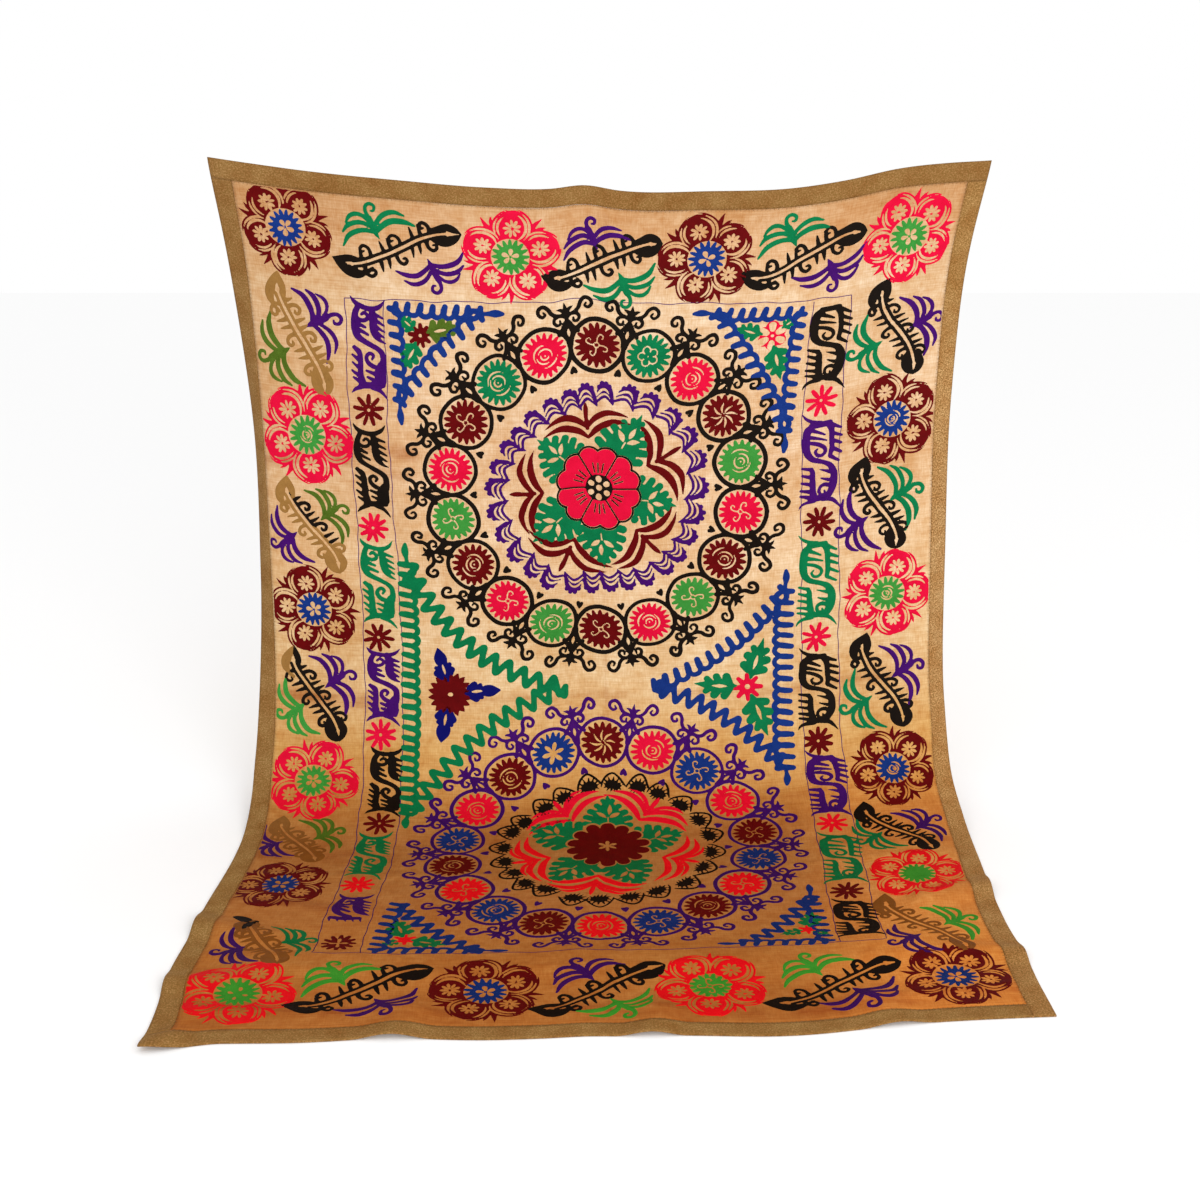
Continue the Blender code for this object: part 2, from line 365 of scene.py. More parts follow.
def front_faces(points):
    """Unit normals of a grid of places, towards the stitched side: down-run cross across-run."""
    down_run = np.gradient(points, axis=0)
    across_run = np.gradient(points, axis=1)
    normal = np.cross(down_run, across_run)
    return normal / np.linalg.norm(normal, axis=-1, keepdims=True)


# %% [markdown]
# ## The ground cloth
# The ground is a plain-woven cotton, uneven in its yarn and creased from being folded away. It is
# a grid hung by the drape function. Besides the main folds it has fine creases: where it was
# folded in four, where it hangs from its corners, and where it drags over the floor. The grid is
# the front face, and a Solidify modifier gives it the thickness behind.

# %% Fine creases
CREASES = (                         # from across, down, to across, down, half width, height
    (12, 60, 12, 2120, 14, 1.3),
    (-690, 1080, 690, 1080, 14, 1.2),
    (-560, 70, -250, 150, 22, 1.8),
    (-570, 100, -300, 190, 18, -1.4),
    (-590, 170, -420, 240, 18, 1.5),
    (-640, 230, -520, 330, 20, 1.6),
    (560, 90, 320, 170, 22, 1.8),
    (580, 130, 380, 215, 18, -1.3),
    (640, 220, 560, 330, 20, 1.5),
    (-700, 560, -560, 575, 18, 1.6),
    (-500, 545, -380, 552, 14, 1.2),
    (-540, 590, -430, 610, 12, -1.0),
    (-700, 1085, -560, 1105, 18, 1.6),
    (250, 1335, 690, 1330, 18, 2.2),
    (-690, 1590, -150, 1600, 20, 2.6),
    (-680, 1500, -430, 1520, 26, -2.0),
    (-700, 1700, -380, 1742, 24, 2.2),
    (150, 1600, 690, 1570, 22, 2.0),
    (430, 1500, 690, 1520, 24, 2.4),
    (520, 1560, 560, 1700, 20, 2.2),
    (470, 1600, 560, 1590, 16, -1.8),
    (-680, 1905, -420, 1925, 26, 2.8),
    (-560, 1968, -250, 1990, 30, 3.0),
    (-150, 1975, 200, 1965, 26, 2.4),
    (300, 1985, 600, 1960, 28, 2.6),
    (-690, 2090, -250, 2110, 26, 2.6),
    (-120, 2105, 250, 2110, 24, 2.2),
    (330, 2112, 690, 2085, 26, 2.6),
)

GROUND_CELL = 9                     # millimetres between the grid's lines
inner_side = HALF_WIDTH - BINDING_WIDTH - SEAM_GAP
inner_top = BINDING_WIDTH + SEAM_GAP
inner_bottom = CLOTH_LENGTH - BINDING_WIDTH - SEAM_GAP


def evenly(start, end, cell):
    """Grid lines from start to end, about a cell apart."""
    return np.linspace(start, end, round((end - start) / cell) + 1)


def hung_grid(across_lines, down_lines, thickness):
    """Flat places of a grid, the hung front face at the thickness, and its normals."""
    across, down = np.meshgrid(across_lines, down_lines)
    back_face = drape(across, down, ridge_height(across, down, CREASES))
    normals = front_faces(back_face)
    return across, down, back_face + normals * thickness * MM, normals


ground_across = evenly(-inner_side, inner_side, GROUND_CELL)
ground_down = evenly(inner_top, inner_bottom, GROUND_CELL)
ground_flat_x, ground_flat_y, ground_front, ground_normals = hung_grid(
    ground_across, ground_down, PANEL_THICKNESS)
print("ground grid:", ground_front.shape[:2])


# %% Flat coordinates, and numbers kept at the points
def lay_uv(mesh, across, down):
    """Gives the mesh its flat coordinates: map cloth in metres, and map OFBake over 0 to 1."""
    corners = np.empty(len(mesh.loops), np.int32)
    mesh.loops.foreach_get("vertex_index", corners)
    flat = np.stack([across.ravel(), -down.ravel()], -1)[corners]
    mesh.uv_layers.new(name="cloth").uv.foreach_set("vector", (flat * MM).astype(np.float32).ravel())
    low, high = flat.min(0), flat.max(0)
    spread = (flat - low) / (high - low) * 0.98 + 0.01
    mesh.uv_layers.new(name="OFBake").uv.foreach_set("vector", spread.astype(np.float32).ravel())


def keep_at_points(mesh, name, values):
    """Keeps one number for each point in the mesh, for its material to read by that name."""
    kept = mesh.attributes.new(name, "FLOAT", "POINT")
    kept.data.foreach_set("value", values.astype(np.float32).ravel())


# %% [markdown]
# ## Drawing with thread
# A suzani is drawn on the cloth by hand before it is filled with silk, motif by motif. Here each
# mark is a brush stroke: a smooth curve through a few knots, each with its half width. The strokes
# of one colour of silk are gathered on a canvas, a grid over the whole cloth which holds at each
# place how deep it lies inside the stitching. Gaps left in the stitching are strokes taken away.
# A painted picture could show the same, but the depth also says how high the silk stands.

# %% The canvas
THREADS = ("maroon", "pink", "black", "purple", "blue", "navy", "emerald", "leaf_green",
           "olive", "tan")
PITCH = 2.25                        # millimetres between the canvas's samples
OUTSIDE = -4.0                      # the depth of bare cotton, which nothing is drawn on
canvas_across = np.arange(-HALF_WIDTH, HALF_WIDTH + PITCH, PITCH)
canvas_down = np.arange(0, CLOTH_LENGTH + PITCH, PITCH)
canvas = {
    thread: np.full((len(canvas_down), len(canvas_across)), OUTSIDE, np.float32)
    for thread in THREADS
}


def brush(*knots, steps=6):
    """A curve through knots (x, y, half width): cubic Hermite in all three, steps a span."""
    k = np.array(knots, float)
    if len(k) < 2:
        return k
    slope = np.gradient(k, axis=0)
    t = np.linspace(0, len(k) - 1, steps * (len(k) - 1) + 1)
    i = np.minimum(t.astype(int), len(k) - 2)
    s = (t - i)[:, None]
    start = k[i] * (1 + 2 * s) * (1 - s) ** 2 + slope[i] * s * (1 - s) ** 2
    end = k[i + 1] * s * s * (3 - 2 * s) + slope[i + 1] * s * s * (s - 1)
    return start + end


def on(thread, *knots, steps=6):
    """A stroke of stitching."""
    return thread, 1, brush(*knots, steps=steps)


def off(thread, *knots, steps=6):
    """A stroke left bare in that thread's stitching."""
    return thread, -1, brush(*knots, steps=steps)


def arc_path(x, y, radius, start, end, half_width, steps):
    """An arc from start to end degrees, counted from the right and up: a cosine and a sine."""
    angle = np.radians(np.linspace(start, end, steps + 1))
    width = np.full(steps + 1, float(half_width))
    return np.stack([x + radius * np.cos(angle), y + radius * np.sin(angle), width], -1)


def crescent(x, y, radius, start, end, belly):
    """An arc that is widest in the middle and runs out to nothing: a sine of the way along."""
    path = arc_path(x, y, radius, start, end, 1, steps=14)
    path[:, 2] = belly * np.sin(np.linspace(0.1, math.pi - 0.1, len(path))) ** 0.7
    return path


# %% Moving strokes about
def turned(strokes, degrees):
    """The strokes turned counter-clockwise about their own origin."""
    c, s = math.cos(math.radians(degrees)), math.sin(math.radians(degrees))
    turn = np.array([[c, s, 0], [-s, c, 0], [0, 0, 1]])
    return [(thread, sign, path @ turn) for thread, sign, path in strokes]


def shifted(strokes, x, y):
    """The strokes moved by x and y."""
    return [(thread, sign, path + np.array([x, y, 0])) for thread, sign, path in strokes]


def stretched(strokes, x=1, y=1, width=1):
    """The strokes with their x, their y and their half widths multiplied; by -1 they are mirrored."""
    return [(thread, sign, path * np.array([x, y, width])) for thread, sign, path in strokes]


def sized(strokes, size):
    """The strokes made larger or smaller, widths and all."""
    return stretched(strokes, size, size, size)


def both_sides(strokes):
    """The strokes and their mirror image, left for right."""
    return strokes + stretched(strokes, x=-1)


def spun(strokes, count, start=0):
    """Copies of the strokes, spread evenly round their origin."""
    return [s for k in range(count) for s in turned(strokes, start + 360 * k / count)]


def again(strokes, thread, sign, wider=0):
    """The strokes once more in that silk, sewn (1) or left bare (-1), so much wider at each side."""
    return [(thread, sign, path + np.array([0, 0, wider])) for _, _, path in strokes]


# %% Drawing on the canvas
hand = np.random.default_rng(11)    # the stitcher's unsteady hand


def unsteady(across, down):
    """A slow wander of the drawn line: a sum of sines of the place, to the right and down."""
    right = np.sin(across / 23 + down / 31 + 1.1) + 0.45 * np.sin(down / 8.3 - across / 11 + 2)
    below = np.sin(down / 27 - across / 19 + 0.4) + 0.45 * np.sin(across / 9.1 + down / 13)
    return right, below


def draw(thread, sign, path):
    """Adds a stroke to its canvas, or takes it away.

    Depth is the largest, over the stroke's segments, of the half width there less the distance.
    """
    field = canvas[thread]
    reach = path[:, 2].max() + 2 * PITCH
    low = path[:, :2].min(0) - reach
    high = path[:, :2].max(0) + reach
    c0, c1 = np.searchsorted(canvas_across, (low[0], high[0]))
    r0, r1 = np.searchsorted(canvas_down, (low[1], high[1]))
    if c0 == c1 or r0 == r1:
        return
    start = path[:-1] if len(path) > 1 else path
    end = path[1:] if len(path) > 1 else path
    x = canvas_across[c0:c1][None, None, :]
    y = canvas_down[r0:r1][None, :, None]
    ax, ay, aw = (start[:, k, None, None] for k in range(3))
    dx, dy, dw = ((end - start)[:, k, None, None] for k in range(3))
    t = np.clip(((x - ax) * dx + (y - ay) * dy) / np.maximum(dx * dx + dy * dy, 1e-9), 0, 1)
    depth = (aw + t * dw - np.hypot(x - ax - t * dx, y - ay - t * dy)).max(0)
    window = field[r0:r1, c0:c1]
    if sign > 0:
        np.maximum(window, depth, out=window)
    else:
        np.minimum(window, -depth, out=window)


def sew(strokes, at, turn=0, size=1.0, stretch=(1.0, 1.0), steady=1.0):
    """Draws a motif with its origin at = (across, down): stitching first, then the gaps in it."""
    placed = turned(strokes, turn)
    for thread, sign, path in sorted(placed, key=lambda stroke: -stroke[1]):
        across = at[0] + path[:, 0] * size * stretch[0]
        down = at[1] - path[:, 1] * size * stretch[1]
        right, below = unsteady(across, down)
        width = path[:, 2] * size * (1 + 0.05 * steady * hand.standard_normal())
        draw(thread, sign, np.stack([across + right * steady, down + below * steady, width], -1))


# %% [markdown]
# ## Suns, stars and small flowers
# Nearly every motif is built round a toothed disc, a star or a ring of petals. The same few are
# sewn over and over in different sizes, so each is one function that takes its sizes.

# %% Small shapes
def sun(thread, radius, teeth, depth):
    """A toothed disc: a round body and a ring of blunt teeth."""
    body = radius - depth
    root = math.pi * body / teeth
    tooth = on(thread, (0, body - 4, root), (0, body + 0.45 * depth, root * 0.80),
               (0, radius - root * 0.45, root * 0.42))
    return [on(thread, (0, 0, body))] + spun([tooth], teeth)


def star_gap(thread, x, y, radius, petals, belly, start=0, heart=1):
    """A bare star with a stitched heart: petals taken away round a dot, widest at 0.6 of the way."""
    tip = belly * 0.6
    gap = off(thread, (0, heart, belly * 0.35), (0, heart + 0.6 * (radius - heart), belly),
              (0, radius - tip, tip))
    return shifted(spun([gap], petals, start), x, y)


def pinwheel(thread, radius, arms, belly):
    """Bare curved arms that whirl out of the middle."""
    arm = off(thread, (0.5, 3, 0.5), (radius * 0.30, radius * 0.50, belly),
              (radius * 0.75, radius * 0.72, 0.5))
    return spun([arm], arms)


def curled_arms(thread, radius, arms):
    """Bare arms round a bare ring, each with its end curled over."""
    r = radius
    arm = off(thread, (0, 0.22 * r, 1.2), (0.04 * r, 0.62 * r, 1.2), (0.26 * r, 0.98 * r, 1.2),
              (0.55 * r, 0.92 * r, 1.1), (0.58 * r, 0.66 * r, 1.0), (0.42 * r, 0.60 * r, 0.9))
    eye = (thread, -1, arc_path(0, 0, 0.24 * r, 0, 360, 1.0, steps=12))
    return spun([arm], arms) + [eye]


def rose(thread, radius):
    """Bare arcs nested like the petals of a rose round a bare dot."""
    r = radius
    arcs = [(0.30, -150, 90), (0.52, 60, 250), (0.62, -110, 40), (0.82, 150, 290), (0.95, -20, 75)]
    bare = [(thread, -1, crescent(0, 0, share * r, a, b, 1.5)) for share, a, b in arcs]
    return bare + [off(thread, (0, 0, 1.8))]


def blossom_line(thread, radius):
    """The bare outline of a five-petalled blossom."""
    loop = (thread, -1, arc_path(0, 0.58 * radius, 0.36 * radius, -40, 220, 1.2, steps=12))
    return spun([loop], 5) + [off(thread, (0, 0, 1.4))]


# %% [markdown]
# ## Rosettes
# Sixteen rosettes stand round the border. Each has five lobes, and each lobe a bare star, with
# crescents of silk laid side by side round it that end in feathery tips, and a tuft of two
# spikes between every two lobes. A toothed disc of another colour lies in the bare eye.

# %% Rosette
LOBE_AT = 60                        # millimetres from the middle to a lobe's star
EYE_RADIUS = 37.5                   # of the bare eye in the middle
MASS_WIDTH = 10                     # half width of the solid ring round it


def lobe(thread):
    """One lobe of a rosette, pointing up: the stitching, and the bare lines in it."""
    strokes = [on(thread, (0, LOBE_AT, 31.5))]
    for sign, radius, start, end, width in (
            (1, 33.5, 165, -150, 3.1), (1, 38.4, 143, 10, 2.9), (1, 38.4, -128, -18, 2.6),
            (-1, 27.8, 152, 22, 2.7), (-1, 35.0, 134, 32, 2.3), (-1, 28.5, -128, -40, 2.1),
            (-1, 35.2, -116, -56, 1.8)):
        path = crescent(0, LOBE_AT, radius, 90 - start, 90 - end, width)
        strokes.append((thread, sign, path))
    return strokes + star_gap(thread, 0, LOBE_AT - 1, 18, 9, 2.9, start=10, heart=3.4)


def tuft(thread):
    """Two spikes between two lobes, pointing up."""
    return [on(thread, (-3, 64, 7), (-4, 84, 4.4), (-2, 101, 0.6)),
            on(thread, (4, 66, 5), (9, 82, 3.6), (16, 92, 0.5))]


def rosette(thread, heart, middle):
    """A five-lobed rosette: silk thread, the silk of its heart, and the heart's bare middle."""
    mass = [(thread, 1, arc_path(0, 0, EYE_RADIUS + 9, 0, 360, MASS_WIDTH, steps=40))]
    petals = spun(lobe(thread), 5) + spun(tuft(thread), 5, 36)
    clearing = [off(thread, (0, 0, EYE_RADIUS))]
    disc = sun(heart, EYE_RADIUS + 1, 16, 14)
    return mass + petals + clearing + disc + middle


MIDDLES = {
    "star": lambda thread: star_gap(thread, 0, 0, 17, 5, 4.4, heart=4),
    "four": lambda thread: star_gap(thread, 0, 0, 17, 4, 4.8, start=20, heart=4),
    "rose": lambda thread: rose(thread, 17),
    "spots": lambda thread: star_gap(thread, 0, 0, 17, 4, 3.0, start=30, heart=9),
    "curls": lambda thread: curled_arms(thread, 20, 4),
    "plain": lambda thread: [],
}
ROSETTES = (                        # across, down, silk, heart, middle, turn, width, height
    (-609, 120, "maroon", "blue", "star", 36, 0.90, 0.98),
    (-174, 142, "pink", "leaf_green", "star", 70, 1.0, 1.0),
    (206, 142, "maroon", "blue", "four", 90, 0.98, 1.0),
    (604, 140, "pink", "leaf_green", "star", 30, 0.93, 0.98),
    (612, 532, "maroon", "blue", "rose", 17, 0.96, 1.0),
    (608, 902, "pink", "leaf_green", "rose", 50, 0.98, 1.0),
    (610, 1300, "maroon", "blue", "rose", 30, 0.96, 1.0),
    (608, 1656, "pink", "leaf_green", "plain", 60, 1.0, 1.04),
    (606, 2048, "maroon", "blue", "star", 36, 0.98, 0.98),
    (-600, 520, "pink", "leaf_green", "rose", 40, 1.03, 1.07),
    (-610, 898, "maroon", "blue", "star", 15, 0.98, 1.0),
    (-610, 1278, "pink", "leaf_green", "star", 50, 0.98, 1.0),
    (-622, 1632, "maroon", "blue", "four", 20, 0.98, 1.0),
    (-614, 2040, "pink", "leaf_green", "spots", 45, 1.0, 1.0),
    (-200, 2038, "maroon", "blue", "star", 10, 1.0, 1.0),
    (182, 2034, "pink", "leaf_green", "curls", 30, 1.0, 1.0),
)
for across, down, silk, heart, middle, turn, width, height in ROSETTES:
    sew(rosette(silk, heart, MIDDLES[middle](heart)), (across, down), turn, stretch=(width, height))
print("rosettes:", len(ROSETTES))

# %% [markdown]
# ## Feathers and sprays
# Between two rosettes lies a curved feather: a bare midrib, a solid lobe at each end, and along
# both sides spikes in pairs with a curled hook after each pair. Two sprays spring from it, one
# on each side: three fingers to the left of a short trunk, two to its right, and a curl on top.


# %% Feather
FEATHER_HOOKS = 3                   # on each side


def hook(thread):
    """A hook that stands on the origin, pointing up and curling over to the right."""
    return on(thread, (-2, -2, 4.8), (-4, 9, 4.2), (-1, 19, 3.9), (7, 24, 3.8), (14, 19, 3.6),
              (12.5, 12.5, 3.0), (7.5, 13, 2.4))


def spike(thread, height):
    """A blunt spike that stands on the origin and leans a little to the left."""
    return on(thread, (0, -3, 4.8), (-1, height * 0.5, 3.9), (-2, height, 1.7))


def feather(thread, length, lift, near=None, patch=None, back=False):
    """A feather along x that climbs from -lift to lift.

    near and patch are silks used for a part; back: the upper hooks curl back to the start.
    """
    reach = min(1.35, max(1, length / 165))     # how much longer the lobes of a long feather are
    half = length / 2

    def midrib(x):
        """Height and slope of an S curve: lift times a sine that is level at both ends."""
        t = np.clip(x / half, -1, 1)
        return lift * np.sin(t * math.pi / 2), lift * math.pi / 2 / half * np.cos(t * math.pi / 2)

    def edge(silk, side, start, end, count):
        """A line of silk along one side of the midrib, from start to end in shares of half."""
        where = np.linspace(half * start, half * end, count)
        rise, slope = midrib(where)
        return silk, 1, np.stack([where - 5.6 * side * slope, rise + 5.4 * side,
                                  3.5 + 0 * where], -1)

    over = patch or thread
    strokes = [edge(over, 1, -0.86, 0.05 if patch else 0.86, 21)]
    if patch:
        strokes.append(edge(thread, 1, 0, 0.86, 15))
    strokes.append(edge(thread, -1, -0.86, 0.86, 21))
    strokes += shifted(stretched([
        on(near or thread, (-23, 12, 0.8), (-9, -2, 8), (3, -13, 11), (16, -18, 9), (28, -15, 5),
           (38, -8, 4)),
        on(thread, (-23, 12, 0.8), (-8, 11, 7), (5, 12, 7.5), (20, 8, 5)),
    ], x=reach), -half, -lift)
    strokes += shifted(stretched([
        on(thread, (13, -2, 0.8), (1, -12, 9), (-12, -17, 11), (-26, -16, 7), (-38, -9, 4)),
        on(thread, (13, -2, 0.8), (2, 7, 7), (-10, 12, 8), (-24, 8, 6), (-34, 5, 4)),
    ], x=reach), half, lift)
    first, last = -half + 30 * reach, half - 38 * reach
    span = (last - first) / (FEATHER_HOOKS - 1)
    for side in (1, -1):
        for k in range(FEATHER_HOOKS):
            x = first + k * span + (8 if side > 0 else 0) * (1 - k / (FEATHER_HOOKS - 1))
            silk = over if side > 0 and x < 0 else thread
            turn_back = -1 if back and side > 0 else 1
            strokes += stood_on(midrib, x, side, stretched([hook(silk)], x=turn_back))
            if k < FEATHER_HOOKS - 1:
                strokes += stood_on(midrib, x + 0.46 * span, side, [spike(silk, 24)])
                strokes += stood_on(midrib, x + 0.70 * span, side, [spike(silk, 24)])
        if side > 0:
            strokes += stood_on(midrib, first - 7, side, [spike(over, 17)])
    where = np.linspace(-half + 1, half - 1, 29)
    width = 2.9 * np.cos(np.linspace(-1.4, 1.4, 29)) ** 0.5
    rib = np.stack([where, midrib(where)[0], width], -1)
    return strokes + [(silk, -1, rib) for silk in sorted({thread, near or thread, over})]


def stood_on(curve, x, side, strokes):
    """The strokes stood on a curve at x, turned by half its slope, over or mirrored under it."""
    rise, slope = curve(x)
    turn = math.degrees(math.atan(slope)) * 0.45
    placed = shifted(turned(stretched(strokes, y=side), turn), 0, 6 * side)
    return shifted(placed, x, rise)


def between(start, end):
    """Middle, turn and length of the straight run from start to end on the cloth."""
    run = (end[0] - start[0], start[1] - end[1])
    middle = ((start[0] + end[0]) / 2, (start[1] + end[1]) / 2)
    return middle, math.degrees(math.atan2(run[1], run[0])), math.hypot(*run)


def spray(thread):
    """A spray that springs up from the origin: three fingers left, two right, a curl on top."""
    fingers = [
        on(thread, (-2, 6, 4.5), (-18, 15, 5.4), (-36, 17, 6.0), (-56, 12, 5.4), (-74, -2, 2.4)),
        on(thread, (-3, 18, 4), (-16, 30, 4.8), (-32, 34, 5.3), (-49, 32, 4.7), (-63, 23, 2.2)),
        on(thread, (-3, 30, 3.8), (-13, 45, 4.2), (-26, 51, 4.7), (-39, 48, 4.1), (-50, 39, 2.0)),
        on(thread, (2, 6, 4.5), (18, 14, 5.4), (38, 17, 6.0), (58, 10, 5.4), (75, -4, 2.4)),
        on(thread, (3, 18, 4), (17, 29, 4.8), (33, 34, 5.3), (50, 32, 4.7), (65, 21, 2.2)),
    ]
    trunk = [on(thread, (2, -9, 1.2), (0, 6, 6.2), (0, 22, 7.0), (0, 38, 5.2))]
    curl = [on(thread, (0, 36, 4.8), (-3, 49, 4.4), (1, 60, 4.2), (11, 63, 4.2), (18, 56, 3.8),
               (14, 48, 3.2), (8, 49, 2.4))]
    return trunk + fingers + curl


FEATHERS = (                        # midrib's start and end, silk, what is odd, bend; then of the
    #                                 spray over it and the one under it: silk, along, off, size
    (-495, 180, -285, 100, "black", {"back": True}, 19,
     ("emerald", -30, 38, 1.0), ("purple", 46, -44, 0.95)),
    (-88, 190, 104, 108, "black", {"back": True}, 20,
     ("purple", -6, 30, 0.92), ("emerald", 17, -42, 1.0)),
    (298, 187, 500, 112, "black", {"back": True}, 19,
     ("emerald", -12, 40, 0.98), ("purple", 42, -34, 1.0)),
    (-642, 238, -554, 424, "tan", {}, 15,
     ("purple", -14, 30, 1.0), ("olive", 10, -42, 1.0)),
    (-655, 636, -550, 800, "tan", {"patch": "black"}, 18,
     ("olive", -6, 34, 0.92), ("purple", -4, -44, 0.92)),
    (-662, 1008, -562, 1172, "black", {"near": "tan"}, 18,
     ("purple", -8, 36, 1.0), ("leaf_green", 3, -36, 0.95)),
    (-668, 1390, -576, 1522, "tan", {}, 15,
     ("olive", 0, 40, 0.95), ("purple", -26, -30, 0.92)),
    (-640, 1806, -562, 1948, "tan", {}, 15,
     ("emerald", 10, 36, 0.9), ("purple", -6, -30, 0.9)),
    (565, 249, 651, 427, "black", {}, 25,
     ("purple", 10, 30, 1.0), ("emerald", 8, -45, 1.0)),
    (551, 628, 628, 794, "black", {}, 24,
     ("emerald", 0, 32, 1.0), ("purple", 12, -38, 1.0)),
    (555, 1012, 642, 1192, "black", {}, 24,
     ("purple", -3, 32, 1.0), ("emerald", 18, -40, 1.0)),
    (534, 1406, 656, 1550, "black", {}, 20,
     ("purple", 22, 34, 0.95), ("emerald", -18, -34, 0.95)),
    (530, 1760, 646, 1958, "tan", {}, 20,
     ("leaf_green", 20, 38, 0.98), ("purple", 36, -46, 0.95)),
    (-508, 2082, -308, 1974, "black", {"back": True}, 18,
     ("leaf_green", -24, 32, 1.0), ("purple", 8, -44, 1.0)),
    (-98, 2102, 92, 1976, "black", {"back": True}, 18,
     ("purple", 2, 38, 0.95), ("leaf_green", -4, -42, 0.98)),
    (296, 2094, 502, 1992, "black", {"back": True}, 16,
     ("leaf_green", -10, 44, 0.95), ("purple", 14, -38, 1.05)),
)
for x0, y0, x1, y1, silk, odd, bend, over, under in FEATHERS:
    place, turn, chord = between((x0, y0), (x1, y1))
    level = math.radians(bend)      # the midrib is level at its ends, so it leaves the chord so far
    sew(feather(silk, chord * math.cos(level), chord * math.sin(level) / 2, **odd), place, turn - bend)
    sprays = []
    for flip, (spray_silk, along, aside, size) in ((0, over), (180, under)):
        sprays += shifted(turned(sized(spray(spray_silk), size), flip), along, aside)
    sew(sprays, place, turn)
# Two more solid lobes stand before the lowest feather on the left.
sew([on("black", (-26, 26, 1), (-14, 24, 8), (2, 12, 12), (4, 0, 7)),
     on("black", (22, 8, 6), (14, -8, 11), (8, -30, 9), (10, -44, 1))], (-652, 1796))
print("feathers:", len(FEATHERS))

# %% [markdown]
# ## The two medallions
# Each medallion is a ring of eighteen toothed discs in linked circles, with a crest of leaves and
# ram's horns over every link. Inside lies a scalloped ring, and in the middle a flower on five
# leaves with a bracket between every two. The motifs repeat round the middle, so each is drawn
# once, pointing up, and then turned.

# %% Ring of discs
RING_RADIUS = 306                   # millimetres, to the discs' middles
RING_DISCS = 18
CIRCLE_RADIUS = 53                  # of the linked circle round a disc
DISC_RADIUS = 46.5                  # to the tips of its teeth
TOOTH_DEPTH = 13.5
FEWEST_TEETH = 18
PATTERN_TURN = 37                   # degrees from one disc's bare pattern to the next one's
UPPER_MIDDLE = (0, 632)
LOWER_MIDDLE = (0, 1500)


def sew_round(middle, radius, angle, strokes, size=1.0):
    """Sews a motif on a circle round the middle, at that angle from the right, pointing outward."""
    c, s = math.cos(math.radians(angle)), math.sin(math.radians(angle))
    sew(strokes, (middle[0] + radius * c, middle[1] - radius * s), angle - 90, size)


def crest(thread):
    """The crest over a link, its origin between two discs: bare eye, stem, bud, curls and horns."""
    half = [
        on(thread, (20, 30, 4.5), (10, 42, 4.4), (3, 54, 4.4)),
        on(thread, (0, 70, 3.8), (8, 80, 3.8), (17, 83, 0.8)),
        on(thread, (2, 65, 3.8), (11, 69, 3.9), (21, 66, 3.9), (25, 58, 3.7), (20, 51, 3.4),
           (13, 53, 3.0), (13, 60, 2.4)),
        on(thread, (2, 68, 4), (18, 71, 4.2), (27, 78, 4.4), (32, 89, 4.4), (41, 96, 4.4),
           (51, 91, 4.2), (53, 81, 3.9), (46, 74, 3.5), (39, 78, 3.0), (42, 84, 2.4)),
    ]
    middle = [on(thread, (0, 4, 7), (0, 26, 10), (0, 42, 6), (0, 60, 4.4)),
              on(thread, (0, 62, 4.6), (0, 78, 5), (0, 94, 0.8))]
    eye = [off(thread, (0, 22, 0.8), (0, 30, 3.2), (0, 39, 0.8))]
    return both_sides(half) + middle + eye


def heart_shape(thread):
    """A small heart whose tip points up."""
    return both_sides([on(thread, (4, -3, 4.2), (2.5, 3, 3.4), (0, 10, 0.8))])


UPPER_DISCS = (
    ("maroon", "curls"), ("emerald", "bloom"), ("pink", "rose"), ("maroon", "whirl"),
    ("leaf_green", "rose"), ("pink", "curls"), ("maroon", "rose"), ("leaf_green", "curls"),
    ("pink", "rose"), ("maroon", "curls"), ("leaf_green", "rose"), ("pink", "curls"),
    ("maroon", "rose"), ("leaf_green", "curls"), ("pink", "rose"), ("maroon", "curls"),
    ("emerald", "rose"), ("pink", "rose"),
)
LOWER_DISCS = (
    ("maroon", "whirl"), ("pink", "rose"), ("blue", "curls"), ("pink", "rose"),
    ("maroon", "curls"), ("blue", "curls"), ("pink", "curls"), ("maroon", "rose"),
    ("blue", "curls"), ("pink", "rose"), ("maroon", "curls"), ("blue", "rose"),
    ("pink", "curls"), ("maroon", "rose"), ("blue", "curls"), ("pink", "rose"),
    ("maroon", "rose"), ("blue", "six"),
)
DISC_MIDDLES = {
    "curls": lambda thread: curled_arms(thread, 21, 4),
    "bloom": lambda thread: blossom_line(thread, 22),
    "rose": lambda thread: rose(thread, 26),
    "whirl": lambda thread: pinwheel(thread, 27, 8, 2.0),
    "six": lambda thread: star_gap(thread, 0, 0, 24, 6, 4.4),
}
for middle, discs, line, disc_ring, crest_share, hearts_at in (
        (UPPER_MIDDLE, UPPER_DISCS, "black", 4.6, 1.02, 254),
        (LOWER_MIDDLE, LOWER_DISCS, "purple", 4.0, 0.96, 243)):
    for k, (silk, pattern) in enumerate(discs):
        angle = 90 - 360 * k / RING_DISCS
        circle = [(line, 1, arc_path(0, 0, CIRCLE_RADIUS, 0, 360, disc_ring, steps=40))]
        disc = sun(silk, DISC_RADIUS, FEWEST_TEETH + k % 3, TOOTH_DEPTH)
        bare = turned(DISC_MIDDLES[pattern](silk), PATTERN_TURN * k)
        sew_round(middle, RING_RADIUS, angle, circle)
        sew_round(middle, RING_RADIUS, angle, disc + bare)
        link = angle - 180 / RING_DISCS
        sew_round(middle, RING_RADIUS, link, stretched(crest(line), width=crest_share), 0.98)
        sew_round(middle, hearts_at, link, heart_shape(line))

